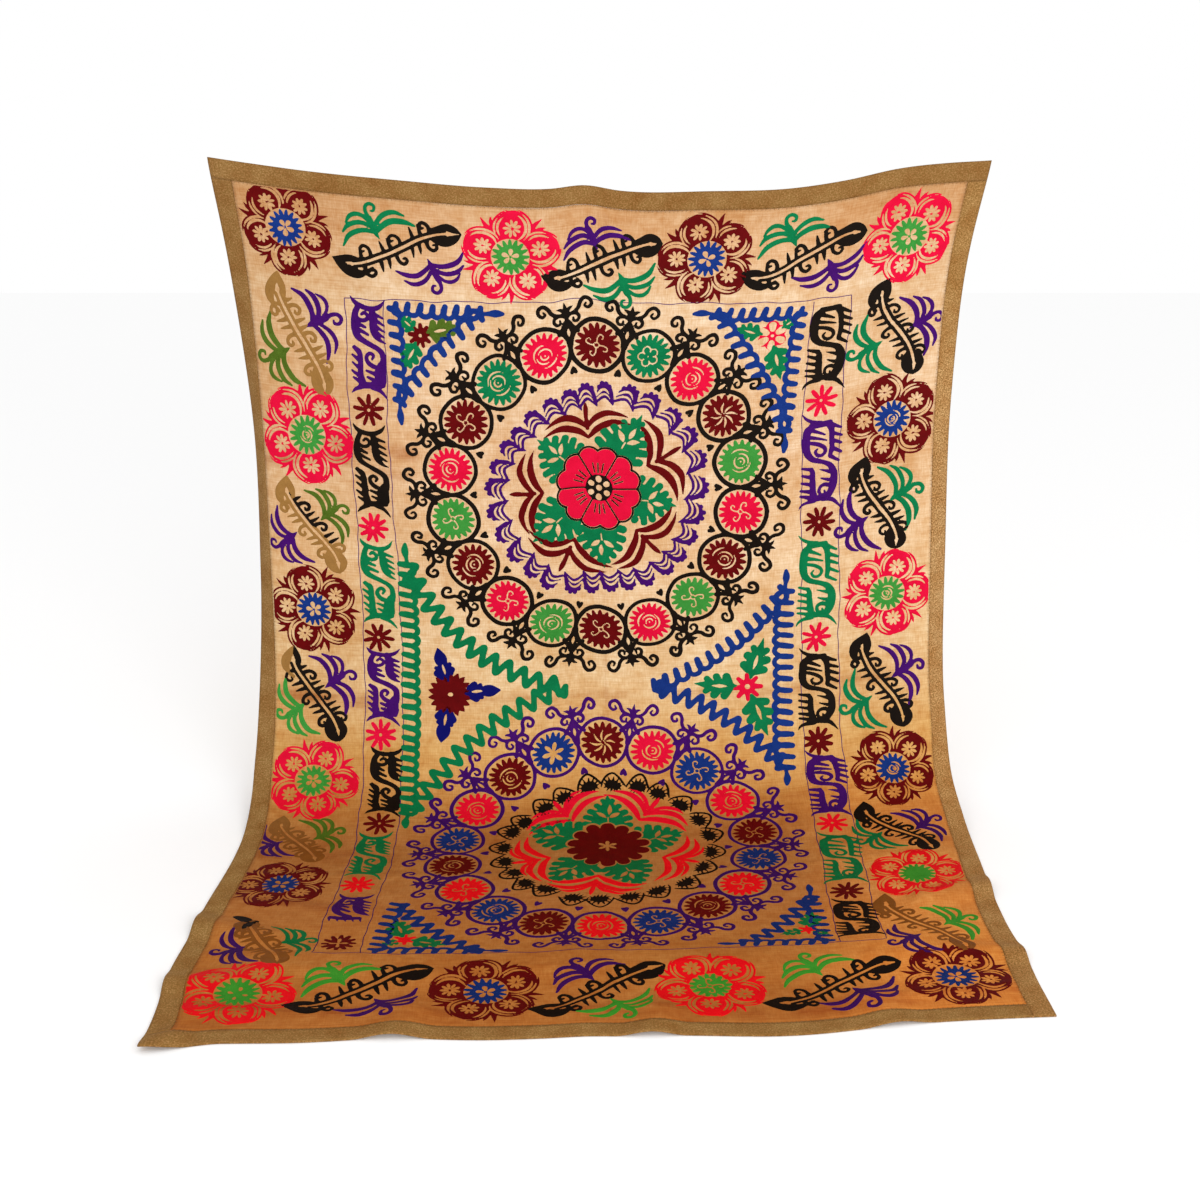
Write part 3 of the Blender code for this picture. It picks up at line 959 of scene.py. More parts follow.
# %% Scalloped rings
UPPER_HEART = (2, 630)              # each ring's own middle: they were drawn by hand, not struck
LOWER_HEART = (1, 1496)
SCALLOP_WIDTH = 46                  # as the shell is drawn, from cusp to cusp
SCALLOP_DROP = 3                    # from the cusps' circle to its origin
ARCH_DEGREES = 31.3                 # from the arch before to the arch after, if it is as wide as drawn
ARCH_RISE = 28                      # from its origin to its top
UPPER_CUSPS = (                     # degrees clockwise from the top, and distance from the middle
    (1, 184), (11, 194), (24, 190), (38, 197), (53, 194), (67, 197), (81, 194), (97, 185),
    (113, 187), (125, 190), (135, 190), (146, 190), (157, 182), (168, 176), (181, 179),
    (192, 185), (203, 196), (215, 193), (227, 193), (240, 192), (253, 192), (266, 192),
    (280, 186), (291, 183), (303, 175), (315, 176), (327, 178), (339, 175), (350, 176),
)
LEAF_PEAKS = (                      # the same of the tops of the lower ring's arches
    (5, 234), (19, 241), (32, 241), (47, 241), (63, 243), (78, 240), (96, 237), (115, 237),
    (133, 242), (150, 230), (166, 231), (182, 236), (196, 238), (215, 224), (229, 233),
    (243, 231), (258, 234), (275, 238), (292, 238), (303, 230), (320, 225), (334, 224), (351, 231),
)


def scallop(thread):
    """A shell between two cusps 46 mm apart: three bands that meet on the right, and four knuckles."""
    bands = [
        on(thread, (-22, 6, 3.4), (-12, 13, 3.6), (1, 16, 3.8), (13, 11, 5.0), (20, 3, 3.6),
           (23, -4, 0.8)),
        on(thread, (-20, 15, 3.8), (-9, 24, 4.0), (2, 26, 4.4), (12, 19, 5.6), (18, 8, 5.0)),
        on(thread, (-17, 26, 5.0), (-9, 34, 6.2), (2, 37, 6.8), (12, 30, 7.6), (17, 17, 6.4),
           (20, 6, 4.2)),
    ]
    knuckles = [on(thread, (x * 0.8, y - 9, 5.6), (x, y, 5.0))
                for x, y in ((-15, 36), (-5.5, 44), (6, 43), (16, 36))]
    bare = [
        off(thread, (-25, 9, 1.3), (-12, 18.5, 2.0), (0, 20.5, 1.9), (9, 16, 1.4), (15, 9, 0.5)),
        off(thread, (-23, 19, 1.3), (-11, 29, 2.2), (0, 31, 2.1), (8, 26, 1.5), (13, 19, 0.5)),
    ]
    return bands + knuckles + bare


def leaf_scallop(thread):
    """A thin arch 54 mm wide over a ragged leaf, its origin 28 mm under the top of the arch."""
    arch = on(thread, (-27, -10, 1.4), (-25, 2, 2.4), (-15, 20, 2.7), (-2, 28, 2.7), (11, 21, 2.7),
              (22, 7, 2.7), (28, -1, 1.6))
    body = on(thread, (-10, -3, 8), (0, 1, 10), (9, -2, 8))
    points = [(0, 8, 1, 20), (-7, 6, -11, 17), (7, 6, 11, 17), (-11, 2, -20, 10), (11, 2, 19, 9),
              (-13, -4, -22, 0), (12, -4, 21, 1), (-13, -7, -22, -12), (-8, -7, -14, -18),
              (-2, -8, -6, -20), (4, -8, 2, -19), (10, -7, 9, -16), (13, -6, 19, -11)]
    return [arch, body] + [on(thread, (x0, y0, 3.4), (x1, y1, 1.0)) for x0, y0, x1, y1 in points]


def sew_arches(middle, rim, strokes, wide, below):
    """Sews a motif, drawn wide across, between each two rows of the rim, below it by so much."""
    angles = np.array([row[0] for row in rim] + [rim[0][0] + 360.0])
    radii = np.array([row[1] for row in rim] + [rim[0][1]])
    for k in range(len(rim)):
        angle, radius = (angles[k] + angles[k + 1]) / 2, (radii[k] + radii[k + 1]) / 2 - below
        share = radius * math.radians(angles[k + 1] - angles[k]) / wide
        tilt = math.degrees(math.atan((radii[k] - radii[k + 1]) / (share * wide)))
        sew_round(middle, radius, 90 - angle, turned(stretched(strokes, x=share), -tilt * 0.7))


sew_arches(UPPER_HEART, UPPER_CUSPS, scallop("purple"), SCALLOP_WIDTH, SCALLOP_DROP)
for k, (angle, radius) in enumerate(LEAF_PEAKS):
    before, after = LEAF_PEAKS[k - 1][0], LEAF_PEAKS[(k + 1) % len(LEAF_PEAKS)][0]
    share = (after - before) % 360 / ARCH_DEGREES
    sew_round(LOWER_HEART, radius - ARCH_RISE, 90 - angle, stretched(leaf_scallop("black"), x=share))
print("scallops:", len(UPPER_CUSPS), len(LEAF_PEAKS))


# %% Leaves and brackets
def big_leaf(thread):
    """A lobed leaf that points up from the middle of a medallion, with three bare almonds in it."""
    body = [on(thread, (0, 80, 37), (0, 108, 33), (0, 134, 20), (0, 155, 9), (0, 178, 0.8))]
    lobes = [on(thread, (x * 0.6, y - 8, w), (x, y, w)) for x, y, w in
             ((47, 90, 8.5), (45, 111, 9), (36, 130, 8.5), (23, 147, 7.5), (10, 161, 6))]
    notches = [off(thread, (x * 1.5, y + 6, 2.2), (x, y, 0.6))
               for x, y in ((36, 98), (32, 117), (22, 134))]
    sprig = both_sides([off(thread, (4, 112, 0.8), (13, 120, 5.0), (24, 128, 0.8))])
    sprig += [off(thread, (2, 122, 0.8), (3, 134, 4.6), (4, 148, 0.8)),
              off(thread, (0, 98, 1.2), (0, 112, 1.3))]
    return body + both_sides(lobes + notches) + sprig


def bracket(thread, third):
    """A bracket between two leaves: two or three arched strands that meet in a V, and a tuft."""
    half = [
        on(thread, (0, 114, 3.6), (20, 129, 7.0), (46, 139, 7.6), (70, 138, 5.0), (94, 130, 0.7)),
        on(thread, (0, 134, 3.6), (20, 152, 6.4), (44, 161, 6.8), (66, 157, 4.6), (88, 146, 0.7)),
    ]
    if third:
        half.append(on(thread, (4, 150, 2.8), (20, 166, 4.2), (42, 174, 4.0), (62, 170, 0.7)))
    middle = [on(thread, (0, 132, 4.5), (0, 154, 4.6), (0, 172, 5.4), (0, 184, 2.0))]
    return both_sides(half) + middle


LEAF_RINGS = (                      # motif, its middle, and (degrees from the right, size) of each
    (big_leaf("emerald"), (4, 628),
     ((60, 1.04), (-13, 0.95), (-88, 0.96), (-143, 1.0), (137, 0.94))),
    (bracket("maroon", False), (4, 630),
     ((98, 1.0), (27, 1.05), (-47, 1.0), (-117, 1.04), (180, 1.0))),
    (big_leaf("emerald"), (0, 1490),
     ((88, 0.97), (20, 0.95), (-65, 0.96), (-127, 0.98), (150, 1.03))),
    (bracket("pink", True), (0, 1490),
     ((124, 1.06), (55, 1.08), (-21, 1.06), (-97, 1.06), (197, 1.06))),
)
for motif, middle, places in LEAF_RINGS:
    for angle, size in places:
        sew(motif, middle, angle - 90, size)
print("leaves and brackets:", sum(len(row[2]) for row in LEAF_RINGS))

# %% The two middle flowers
FLOWER_PETALS = 6


def split_petals(silk):
    """Six petals round a full middle, each split in two at its tip."""
    petals = []
    for k in range(FLOWER_PETALS):
        for lean in (-15, 15):
            petals += turned([on(silk, (0, 30, 12), (0, 65, 21.5))], 60 * k + lean)
    return petals + [on(silk, (0, 0, 45))]


def veins(line):
    """A line between every two petals, and three short ones in each."""
    drawn = []
    for k in range(FLOWER_PETALS):
        drawn += turned([on(line, (0, 24, 1.8), (0, 82, 1.8))], 60 * k + 30)
        for lean in (-12, 0, 12):
            drawn += turned([on(line, (0, 34, 1.7), (0, 54, 1.5))], 60 * k + lean)
    return drawn


# The upper flower: room is left in the leaves under it, a black shape a little larger than the
# petals lies round them as their outline, and the veins take the place of pink silk.
MIDDLE_FLOWER = (6, 625)
petals = split_petals("pink")
flower_veins = veins("black")
for strokes in (again(petals, "emerald", -1, 4.4), again(petals, "black", 1, 4.6), petals,
                again(petals, "black", -1), again(flower_veins, "pink", -1, -0.2), flower_veins):
    sew(strokes, MIDDLE_FLOWER, steady=0)
seeds = spun([off("black", (0, 18, 5.6), (0, 20, 6.0))], FLOWER_PETALS) + [off("black", (0, 0, 5.8))]
sew([off("pink", (0, 0, 29)), on("black", (0, 0, 28))] + seeds, MIDDLE_FLOWER)

LOWER_FLOWER = (2, 1484)
round_flower = [on("maroon", (0, 0, 66))] + spun([on("maroon", (0, 60, 14), (0, 71, 13.5))], 14)
sew(again(round_flower, "emerald", -1, 3.0), LOWER_FLOWER)
sew(round_flower + star_gap("maroon", 0, 0, 20, 6, 3.6), LOWER_FLOWER)
print("medallions drawn")

# %% [markdown]
# ## The side columns
# A narrow column runs down each side, framed by thin lines: a comb-toothed figure, a round
# flower, and so on. The figure's lower half is much like its upper half turned round, but each
# was sewn in its own way, so the two are drawn apart.


# %% Comb figures and column flowers
def teeth(thread, rows):
    """Blunt teeth, each from root (x, y) to tip (x, y), with the tip's half width."""
    return [on(thread, (x0, y0, 4.7), (x1, y1, tip)) for x0, y0, x1, y1, tip in rows]


def left_comb(thread):
    """The upper and the lower half of the left column's figure, as two lists."""
    top = [
        on(thread, (-29, 101, 0.8), (-23, 91, 3.8), (-13, 83, 5), (4, 79, 5), (20, 80, 5),
           (32, 86, 4), (41, 98, 0.8)),
        on(thread, (-14, 81, 5.5), (-20, 68, 6.2), (-22, 52, 7.8), (-22, 36, 8), (-17, 22, 6.8),
           (-6, 13, 5.6), (8, 6, 5.2)),
        on(thread, (-20, 59, 3.5), (-9, 53, 4.3), (2, 55, 4.2), (5, 63, 4.0), (-2, 69, 3.8),
           (-8, 65, 3.2)),
        on(thread, (13, 78, 6.5), (17, 60, 8.2), (17, 42, 8.6), (21, 27, 7.8), (30, 16, 4.2),
           (42, 9, 1.2)),
    ]
    top += teeth(thread, ((20, 68, 38, 61, 2.4), (22, 55, 39, 47, 2.2), (22, 43, 40, 34, 2.0),
                          (23, 32, 39, 22, 2.0), (-18, 47, 0, 39, 2.8), (-18, 36, 5, 24, 2.8)))
    foot = [
        on(thread, (8, 6, 5.2), (23, -2, 5.2), (32, -12, 6), (34, -26, 6.5), (32, -38, 8)),
        on(thread, (30, -36, 9), (26, -50, 12.5), (26, -64, 12.5)),
        on(thread, (-12, -75, 6.5), (30, -73, 6)),
        on(thread, (26, -42, 4), (11, -36, 5), (2, -27, 4.6), (1, -17, 4.2), (8, -11, 3.8),
           (15, -16, 3.6), (12, -23, 2.8)),
        on(thread, (-24, 4, 2), (-20, -2, 4), (-13, -10, 5.6), (-12, -32, 6.2), (-12, -52, 6.8),
           (-8, -70, 7)),
        on(thread, (-8, -77, 5), (-23, -83, 4), (-32, -92, 0.8)),
        on(thread, (10, -78, 5), (24, -84, 4.2), (34, -94, 3), (41, -104, 0.8)),
    ]
    foot += teeth(thread, ((-15, -11, -27, 1, 2.4), (-15, -24, -29, -14, 2.4),
                           (-15, -39, -28, -29, 2.4), (-15, -55, -29, -45, 2.4),
                           (-13, -68, -27, -59, 2.4), (18, -53, -1, -45, 2.8),
                           (18, -66, 1, -58, 2.6)))
    return top, foot


def right_comb(thread, horned=True):
    """The upper and the lower half of the right column's figure, as two lists."""
    top = [
        on(thread, (-16, 77, 6.5), (18, 77, 6.5)),
        on(thread, (-14, 75, 7), (-25, 66, 9), (-28, 50, 9), (-28, 32, 9), (-25, 16, 8),
           (-15, 5, 6.5), (0, -1, 5.5)),
        on(thread, (16, 76, 7), (23, 62, 6.4), (25, 42, 5.8), (25, 22, 5.6), (23, 8, 5)),
        on(thread, (-18, 39, 4), (-2, 34, 4.4), (9, 27, 4.2), (12, 18, 4.0), (5, 11, 3.8),
           (-5, 13, 3.6), (-9, 20, 3.2), (-5, 25, 2.2)),
    ]
    top += teeth(thread, ((24, 72, 43, 62, 2.8), (26, 55, 46, 45, 2.8), (26, 40, 46, 30, 3.0),
                          (26, 23, 46, 12, 3.0), (24, 6, 42, -5, 2.8), (-14, 66, 10, 54, 2.4),
                          (-18, 51, 14, 42, 2.0)))
    if horned:
        top.append(on(thread, (-37, 103, 0.8), (-28, 92, 3.2), (-15, 85, 4.2), (0, 81, 5)))
    foot = [
        on(thread, (0, -1, 5.5), (12, -6, 5.2), (24, -13, 6.5), (31, -26, 8), (32, -42, 8.6),
           (30, -58, 8.6), (22, -72, 8)),
        on(thread, (-16, -76, 6.5), (18, -76, 6.5)),
        on(thread, (8, -79, 5), (26, -84, 4.5), (37, -94, 3), (45, -105, 0.8)),
        on(thread, (-8, -80, 5), (-28, -83, 4), (-38, -89, 2.8), (-42, -97, 0.8)),
        on(thread, (-18, -14, 4), (-13, -23, 5.6), (-13, -40, 6.5), (-12, -60, 7), (-8, -74, 7)),
        on(thread, (28, -57, 4.6), (14, -51, 4.4), (4, -54, 3.8), (1, -62, 3.6), (5, -70, 3.4),
           (13, -69, 3.0), (12, -63, 2.2)),
    ]
    foot += teeth(thread, ((-16, -15, -36, -10, 2.8), (-16, -31, -36, -24, 2.8),
                           (-16, -46, -37, -39, 2.8), (-16, -61, -38, -55, 2.8),
                           (-16, -73, -38, -67, 2.6), (26, -27, 1, -19, 1.2),
                           (26, -44, 5, -37, 1.8)))
    return top, foot


def column_flower(thread, petals):
    """A small flower of separate petals with a bare dot."""
    ring = spun([on(thread, (0, 6, 3.0), (0, 20, 5.0), (0, 29.5, 4.0))], petals)
    return ring + [on(thread, (0, 0, 10)), off(thread, (0, 0, 3.0))]


COMB_PERIOD = 252                   # flower to flower, as the comb figures are drawn
LEFT_COLUMN = (                     # across and down of each flower, its silk, the silk over it
    (-466, 462, "maroon", "purple"), (-472, 710, "pink", "black"), (-474, 956, "maroon", "emerald"),
    (-472, 1170, "pink", "purple"), (-464, 1392, "maroon", "black"), (-474, 1632, "pink", "emerald"),
)
RIGHT_COLUMN = (
    (464, 468, "pink", "black"), (464, 724, "maroon", "purple"), (458, 980, "pink", "emerald"),
    (458, 1214, "maroon", "black"), (464, 1434, "pink", "purple"), (464, 1702, "maroon", "emerald"),
)
COLUMN_TOP = 220
for comb, column in ((left_comb, LEFT_COLUMN), (right_comb, RIGHT_COLUMN)):
    above = COLUMN_TOP
    for k, (across, down, silk, comb_silk) in enumerate(column):
        sew(column_flower(silk, 9 + k % 2), (across, down), 12 * k)
        arched = comb is right_comb and k == 0
        top, foot = comb(comb_silk, horned=False) if arched else comb(comb_silk)
        sew(top + foot, (across, (above + down) / 2), stretch=(1.0, (down - above) / COMB_PERIOD))
        above = down
# The left column ends with half a figure on a toothed bar and a starred flower, the right one with
# a low whole figure.
sew(left_comb("purple")[0], (-472, 1764), stretch=(1.0, 0.95))
sew([on("purple", (-26, 4, 5), (0, 1, 6), (26, 2, 5))]
    + [on("purple", (x, 0, 3.4), (x + 3, -12, 0.8)) for x in (-28, -14, 0, 14, 28)], (-472, 1768))
sew(column_flower("maroon", 12) + star_gap("maroon", 0, 0, 19, 4, 3.0), (-468, 1864))
top, foot = right_comb("black")
sew(top + foot, (466, 1812), stretch=(1.0, 0.80))
print("columns:", len(LEFT_COLUMN) + len(RIGHT_COLUMN), "flowers")

# %% [markdown]
# ## Corner and side triangles
# Round the medallions lie six triangles, each framed by looped lines. A side is a row of clubs,
# their feet joined by arcs on the inside, or a plain wave. In each triangle stands a small
# bouquet: a flower with three leaves.

# %% Looped lines
def loop_line(thread, length, drops, form, tall, wide, step, bow):
    """A looped line along x, sagging by bow in its middle as a parabola.

    drops: which of its ends run out in a drop; form: clubs, or waves, drawn through four knots
    each; tall and wide: shares of the height and of the half widths drawn here; step: from loop
    to loop, about.
    """
    count = max(2, round(length / step))
    pitch = length / count
    strokes = []
    if form == "waves":
        strokes.append(on(thread, *((quarter * pitch / 4 - length / 2, (0, 17, 0, -17)[quarter % 4], 8)
                                    for quarter in range(4 * count + 1)), steps=4))
    for k in range(count + 1 if form == "clubs" else 0):
        x = -length / 2 + k * pitch
        strokes.append(on(thread, (x + 3, 15, 7.4), (x + 1, 4, 8.6), (x - 1, -6, 7.8)))
        if k < count:
            strokes.append(on(thread, (x - 1, -5, 7), (x + pitch * 0.30 - 1, -13, 7),
                              (x + pitch * 0.70 - 1, -13, 7), (x + pitch - 1, -5, 7)))
    for side, wanted in zip((-1, 1), drops):
        if wanted:
            x = side * length / 2
            strokes.append(on(thread, (x, 0, 5), (x + side * 16, 2, 5.4), (x + side * 31, 3, 9.5),
                              (x + side * 45, 2, 5.0)))
    bent = []
    for silk, sign, path in strokes:
        x, y, half_width = path.T
        slope = 8 * bow * x / length ** 2
        steep = np.hypot(1, slope)
        fall = bow * (1 - (2 * x / length) ** 2)
        bent.append((silk, sign, np.stack([x - y * tall * slope / steep, y * tall / steep - fall,
                                           half_width * wide], -1)))
    return bent


TRIANGLES = (                       # silk, corners clockwise, and of each side between them:
    #                                 drops, form, height, width, step and bow
    ("blue", (-404, 264), (-236, 262), (-398, 440),
     ((0, 1), "clubs", 0.76, 0.80, 25, 0), ((0, 0), "clubs", 0.84, 0.82, 27, 8),
     ((1, 0), "clubs", 0.76, 0.80, 25, 0)),
    ("blue", (236, 262), (402, 268), (392, 520),
     ((1, 0), "clubs", 0.76, 0.80, 25, 0), ((0, 1), "clubs", 0.76, 0.80, 25, 0),
     ((0, 0), "clubs", 0.84, 0.82, 27, 14)),
    ("emerald", (-406, 790), (-78, 1068), (-408, 1360),
     ((0, 0), "waves", 1.06, 0.84, 33, 58), ((0, 0), "waves", 1.06, 0.84, 33, 46),
     ((1, 1), "clubs", 1.06, 0.86, 23, 0)),
    ("blue", (390, 866), (382, 1266), (112, 1070),
     ((1, 1), "clubs", 1.2, 0.84, 25, 0), ((0, 0), "waves", 0.95, 0.78, 31, 26),
     ((0, 0), "clubs", 1.0, 0.86, 27, 26)),
    ("blue", (-382, 1712), (-212, 1900), (-396, 1896),
     ((0, 0), "waves", 0.85, 0.76, 30, 12), ((1, 0), "clubs", 0.84, 0.76, 25, 0),
     ((0, 0), "clubs", 0.9, 0.78, 25, 0)),
    ("blue", (392, 1716), (400, 1900), (254, 1892),
     ((1, 0), "clubs", 0.9, 0.78, 25, 0), ((0, 1), "clubs", 0.84, 0.76, 25, 0),
     ((0, 0), "waves", 0.85, 0.76, 30, 12)),
)
for silk, first, second, third, *sides in TRIANGLES:
    corners = (first, second, third)
    for k, side in enumerate(sides):
        place, turn, length = between(corners[k], corners[(k + 1) % 3])
        sew(loop_line(silk, length, *side), place, turn)


# %% Bouquets
def bud_leaf(thread):
    """A leaf in two steps: a lobed foot with a bare slit, and a pointed bud on it."""
    spine = on(thread, (0, 0, 8), (0, 12, 12), (0, 27, 8), (0, 42, 13), (0, 52, 9), (0, 66, 0.8))
    lobes = [on(thread, (8, 8, 7), (15, 17, 7)), on(thread, (7, 22, 5), (13, 28, 4.5))]
    return [spine] + both_sides(lobes) + [off(thread, (0, 10, 0.8), (0, 20, 2.4), (0, 31, 0.8))]


def oak_leaf(thread):
    """A broad leaf that points up from the origin, three lobes a side, with a bare slit."""
    half = [on(thread, (5, 14, 8), (18, 20, 7.4)), on(thread, (5, 32, 8), (18, 39, 7.4)),
            on(thread, (4, 48, 7), (12, 56, 6))]
    slit = off(thread, (0, 18, 0.8), (0, 31, 3.0), (0, 45, 0.8))
    spine = on(thread, (0, 0, 4), (0, 22, 12), (0, 46, 10), (0, 62, 5.5), (0, 77, 0.8))
    return [spine] + both_sides(half) + [slit]


def celled_flower(thread):
    """A flower of six bare petals outlined in silk, round a bare dot."""
    petals = spun([on(thread, (0, 18, 13.5))], 6) + [on(thread, (0, 0, 14))]
    return petals + spun([off(thread, (0, 14, 5.6), (0, 22, 7.6))], 6) + [off(thread, (0, 0, 3.4))]


def daisy(thread, radius, petals, bare):
    """A flower of rounded petals with a bare mark in the middle."""
    ring = spun([on(thread, (0, radius * 0.4, radius * 0.2), (0, radius * 0.85, radius * 0.16))], petals)
    return ring + [on(thread, (0, 0, radius * 0.55))] + bare


def star_flower(thread, radius, petals, bare):
    """A full flower whose petals end in points."""
    ring = spun([on(thread, (0, radius * 0.3, radius * 0.14), (0, radius * 0.76, radius * 0.15),
                    (0, radius * 1.05, 1.2))], petals)
    return ring + [on(thread, (0, 0, radius * 0.62))] + bare


BOUQUETS = (                        # across, down, flower, (leaf, silk, turn, size, out) of each
    (-356, 312, daisy("maroon", 25, 9, [off("maroon", (0, 0, 3))]),
     ((oak_leaf, "emerald", 48, 0.60, 14), (oak_leaf, "emerald", 152, 0.85, 14),
      (oak_leaf, "olive", -72, 0.95, 14))),
    (350, 312, celled_flower("pink"),
     ((oak_leaf, "emerald", 74, 0.74, 22), (oak_leaf, "emerald", -52, 0.50, 24),
      (oak_leaf, "emerald", 196, 1.0, 24))),
    (-324, 1080, star_flower("maroon", 46, 18, [off("maroon", (-1, 0, 4.0), (2, 0, 4.4))]),
     ((bud_leaf, "navy", 14, 1.1, 33), (bud_leaf, "navy", -84, 1.1, 36),
      (bud_leaf, "navy", 170, 1.12, 34))),
    (312, 1080, daisy("pink", 32, 8, [off("pink", (0, 0, 5.4))]),
     ((oak_leaf, "emerald", -18, 1.22, 22), (oak_leaf, "emerald", 84, 1.18, 24),
      (oak_leaf, "emerald", 200, 1.26, 22))),
    (-352, 1848, daisy("pink", 22, 6, []),
     ((oak_leaf, "emerald", 18, 0.95, 10), (oak_leaf, "emerald", -106, 0.9, 12),
      (oak_leaf, "emerald", 118, 0.5, 10))),
    (374, 1840, daisy("pink", 19, 6, []),
     ((oak_leaf, "emerald", -14, 0.8, 10), (oak_leaf, "emerald", 104, 0.56, 10),
      (oak_leaf, "emerald", -128, 0.5, 10))),
)
for across, down, flower, leaves in BOUQUETS:
    for leaf, silk, turn, size, out in leaves:
        sew(turned(shifted(sized(leaf(silk), size), 0, out), turn), (across, down))
    sew(flower, (across, down))
print("triangles:", len(TRIANGLES), "bouquets:", len(BOUQUETS))

# %% [markdown]
# ## Raising the silk
# The stitching stands proud of the cotton like a low cushion: it rises from its outline over
# about two millimetres and is then level. A height map could do this in the shader, but a real
# surface also catches the light along the folds and shows from the side. Each canvas becomes a
# surface by marching squares: every small square of the canvas keeps the part of itself that lies
# inside the stitching.

# %% The squares' faces
SILK_HEIGHT = 0.75                  # millimetres over the cotton
SILK_ROLL = 2.2                     # how far in from the outline the height is reached
TUCK = 0.15                         # the outline dips into the cotton by this much
CUT_LIMIT = 0.12                    # an outline point keeps this share of a square off a corner
MOST_TRIANGLES = 180_000            # more than this, and a silk is parted into upper and lower
RING = (0, 7, 3, 6, 2, 5, 1, 4)     # a square's corners 0 to 3 and edges 4 to 7, counter-clockwise


def square_triangles(case):
    """Triangles, as items of the ring, of a square whose corners inside are the bits of case."""
    held = [bool(case >> k & 1) for k in range(4)]
    kept = [i for i in RING if (held[i] if i < 4 else held[i - 4] != held[(i - 3) % 4])]
    return [(kept[0], kept[k], kept[k + 1]) for k in range(1, len(kept) - 1)]


def outline_surface(depth):
    """Rows, columns and depths of the points, and the triangles, of the places deeper than 0.

    An edge between a place inside and one outside is cut where the depth, taken as a straight
    line between the two, is 0.
    """
    inside = depth > 0
    cut_across = inside[:, :-1] != inside[:, 1:]
    cut_down = inside[:-1] != inside[1:]
    corners, r1, c1, r2, c2 = np.nonzero(inside), *np.nonzero(cut_across), *np.nonzero(cut_down)

    def crossing(here, there):
        return np.clip(here / (here - there), CUT_LIMIT, 1 - CUT_LIMIT)

    t1 = crossing(depth[r1, c1], depth[r1, c1 + 1])
    t2 = crossing(depth[r2, c2], depth[r2 + 1, c2])
    row = np.concatenate([corners[0], r1, r2 + t2])
    col = np.concatenate([corners[1], c1 + t1, c2])
    deep = np.concatenate([depth[corners], 0 * t1, 0 * t2])
    corner_id = np.cumsum(inside).reshape(inside.shape) - 1
    across_id = len(corners[0]) + np.cumsum(cut_across).reshape(cut_across.shape) - 1
    down_id = len(corners[0]) + len(r1) + np.cumsum(cut_down).reshape(cut_down.shape) - 1
    ring = np.stack([corner_id[:-1, :-1], corner_id[:-1, 1:], corner_id[1:, 1:], corner_id[1:, :-1],
                     across_id[:-1], down_id[:, 1:], across_id[1:], down_id[:, :-1]], -1)
    bits = inside.astype(int)
    case = bits[:-1, :-1] + 2 * bits[:-1, 1:] + 4 * bits[1:, 1:] + 8 * bits[1:, :-1]
    faces = [ring[case == k][:, list(t)] for k in range(1, 16) for t in square_triangles(k)]
    return row, col, deep, np.concatenate(faces)


def on_cloth(across, down, height):
    """Places over the ground's own front face, for flat millimetres and a height over it."""
    row = (down - ground_down[0]) / (ground_down[1] - ground_down[0])
    col = (across - ground_across[0]) / (ground_across[1] - ground_across[0])
    normal = read_table(ground_normals, row, col)
    return read_table(ground_front, row, col) + normal * np.asarray(height)[..., None] * MM


def new_piece(name, mesh, material):
    """An object for the mesh, linked, painted and riding with the cloth."""
    piece = bpy.data.objects.new(name, mesh)
    scene.collection.objects.link(piece)
    mesh.materials.append(material)
    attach(piece, "root")
    return piece


# %% [markdown]
# ## What silk, cotton and the strip look like
# The silk is laid in close rows that follow the outline of each shape, so its sheen changes from
# row to row: the depth kept at each point gives the rows. The dye took unevenly.

# %% Fades, noises and mixes
def maths(tree, operation, *values, clamp=False):
    """One sum of outputs and constants; clamp keeps it between 0 and 1."""
    made = node(tree, "ShaderNodeMath", dict(enumerate(values)), operation=operation,
                use_clamp=clamp)
    return made.outputs[0]


def cloth_fade(tree, stops):
    """The flat coordinates, and a colour by how far down the cloth: minus v, as a share of it."""
    flat = node(tree, "ShaderNodeUVMap", {}, uv_map="cloth").outputs[0]
    parts = node(tree, "ShaderNodeSeparateXYZ", {0: flat})
    fall = maths(tree, "MULTIPLY", parts.outputs[1], -1000 / CLOTH_LENGTH)
    ramp = node(tree, "ShaderNodeValToRGB", {"Fac": fall})
    ramp.color_ramp.elements.remove(ramp.color_ramp.elements[1])
    for k, (down, colour) in enumerate(stops):
        at = down / CLOTH_LENGTH
        stop = ramp.color_ramp.elements[0] if k == 0 else ramp.color_ramp.elements.new(at)
        stop.position = at
        stop.color = linear(colour)
    return flat, ramp.outputs[0]


def noise(tree, flat, scale, detail, roughness=0.5, stretch=None):
    """Noise over the flat cloth; a stretch draws it out along one way, for slubs and threads."""
    if stretch:
        flat = node(tree, "ShaderNodeMapping", {"Vector": flat, "Scale": stretch}).outputs[0]
    made = node(tree, "ShaderNodeTexNoise",
                {"Vector": flat, "Scale": scale, "Detail": detail, "Roughness": roughness})
    return made.outputs["Fac"]


def read_points(tree, name):
    """The number that the mesh keeps at its points by that name."""
    return node(tree, "ShaderNodeAttribute", {}, attribute_name=name).outputs["Fac"]


def mixed(tree, kind, share, first, second):
    """A colour mix of that blend kind; share, first and second are outputs or constants."""
    mix = node(tree, "ShaderNodeMix", {0: share, 6: first, 7: second}, data_type="RGBA",
               blend_type=kind)
    return mix.outputs[2]


def spread_out(tree, value, factor, plus):
    """A noise made stronger: value times factor plus a constant, kept between 0 and 1."""
    return maths(tree, "MULTIPLY_ADD", value, factor, plus, clamp=True)


def bumped(tree, height, strength, distance, **base):
    """Normals of a surface in relief; a base is the Normal of a coarser or finer relief under it."""
    inputs = {"Height": height, "Strength": strength, "Distance": distance} | base
    return node(tree, "ShaderNodeBump", inputs).outputs[0]


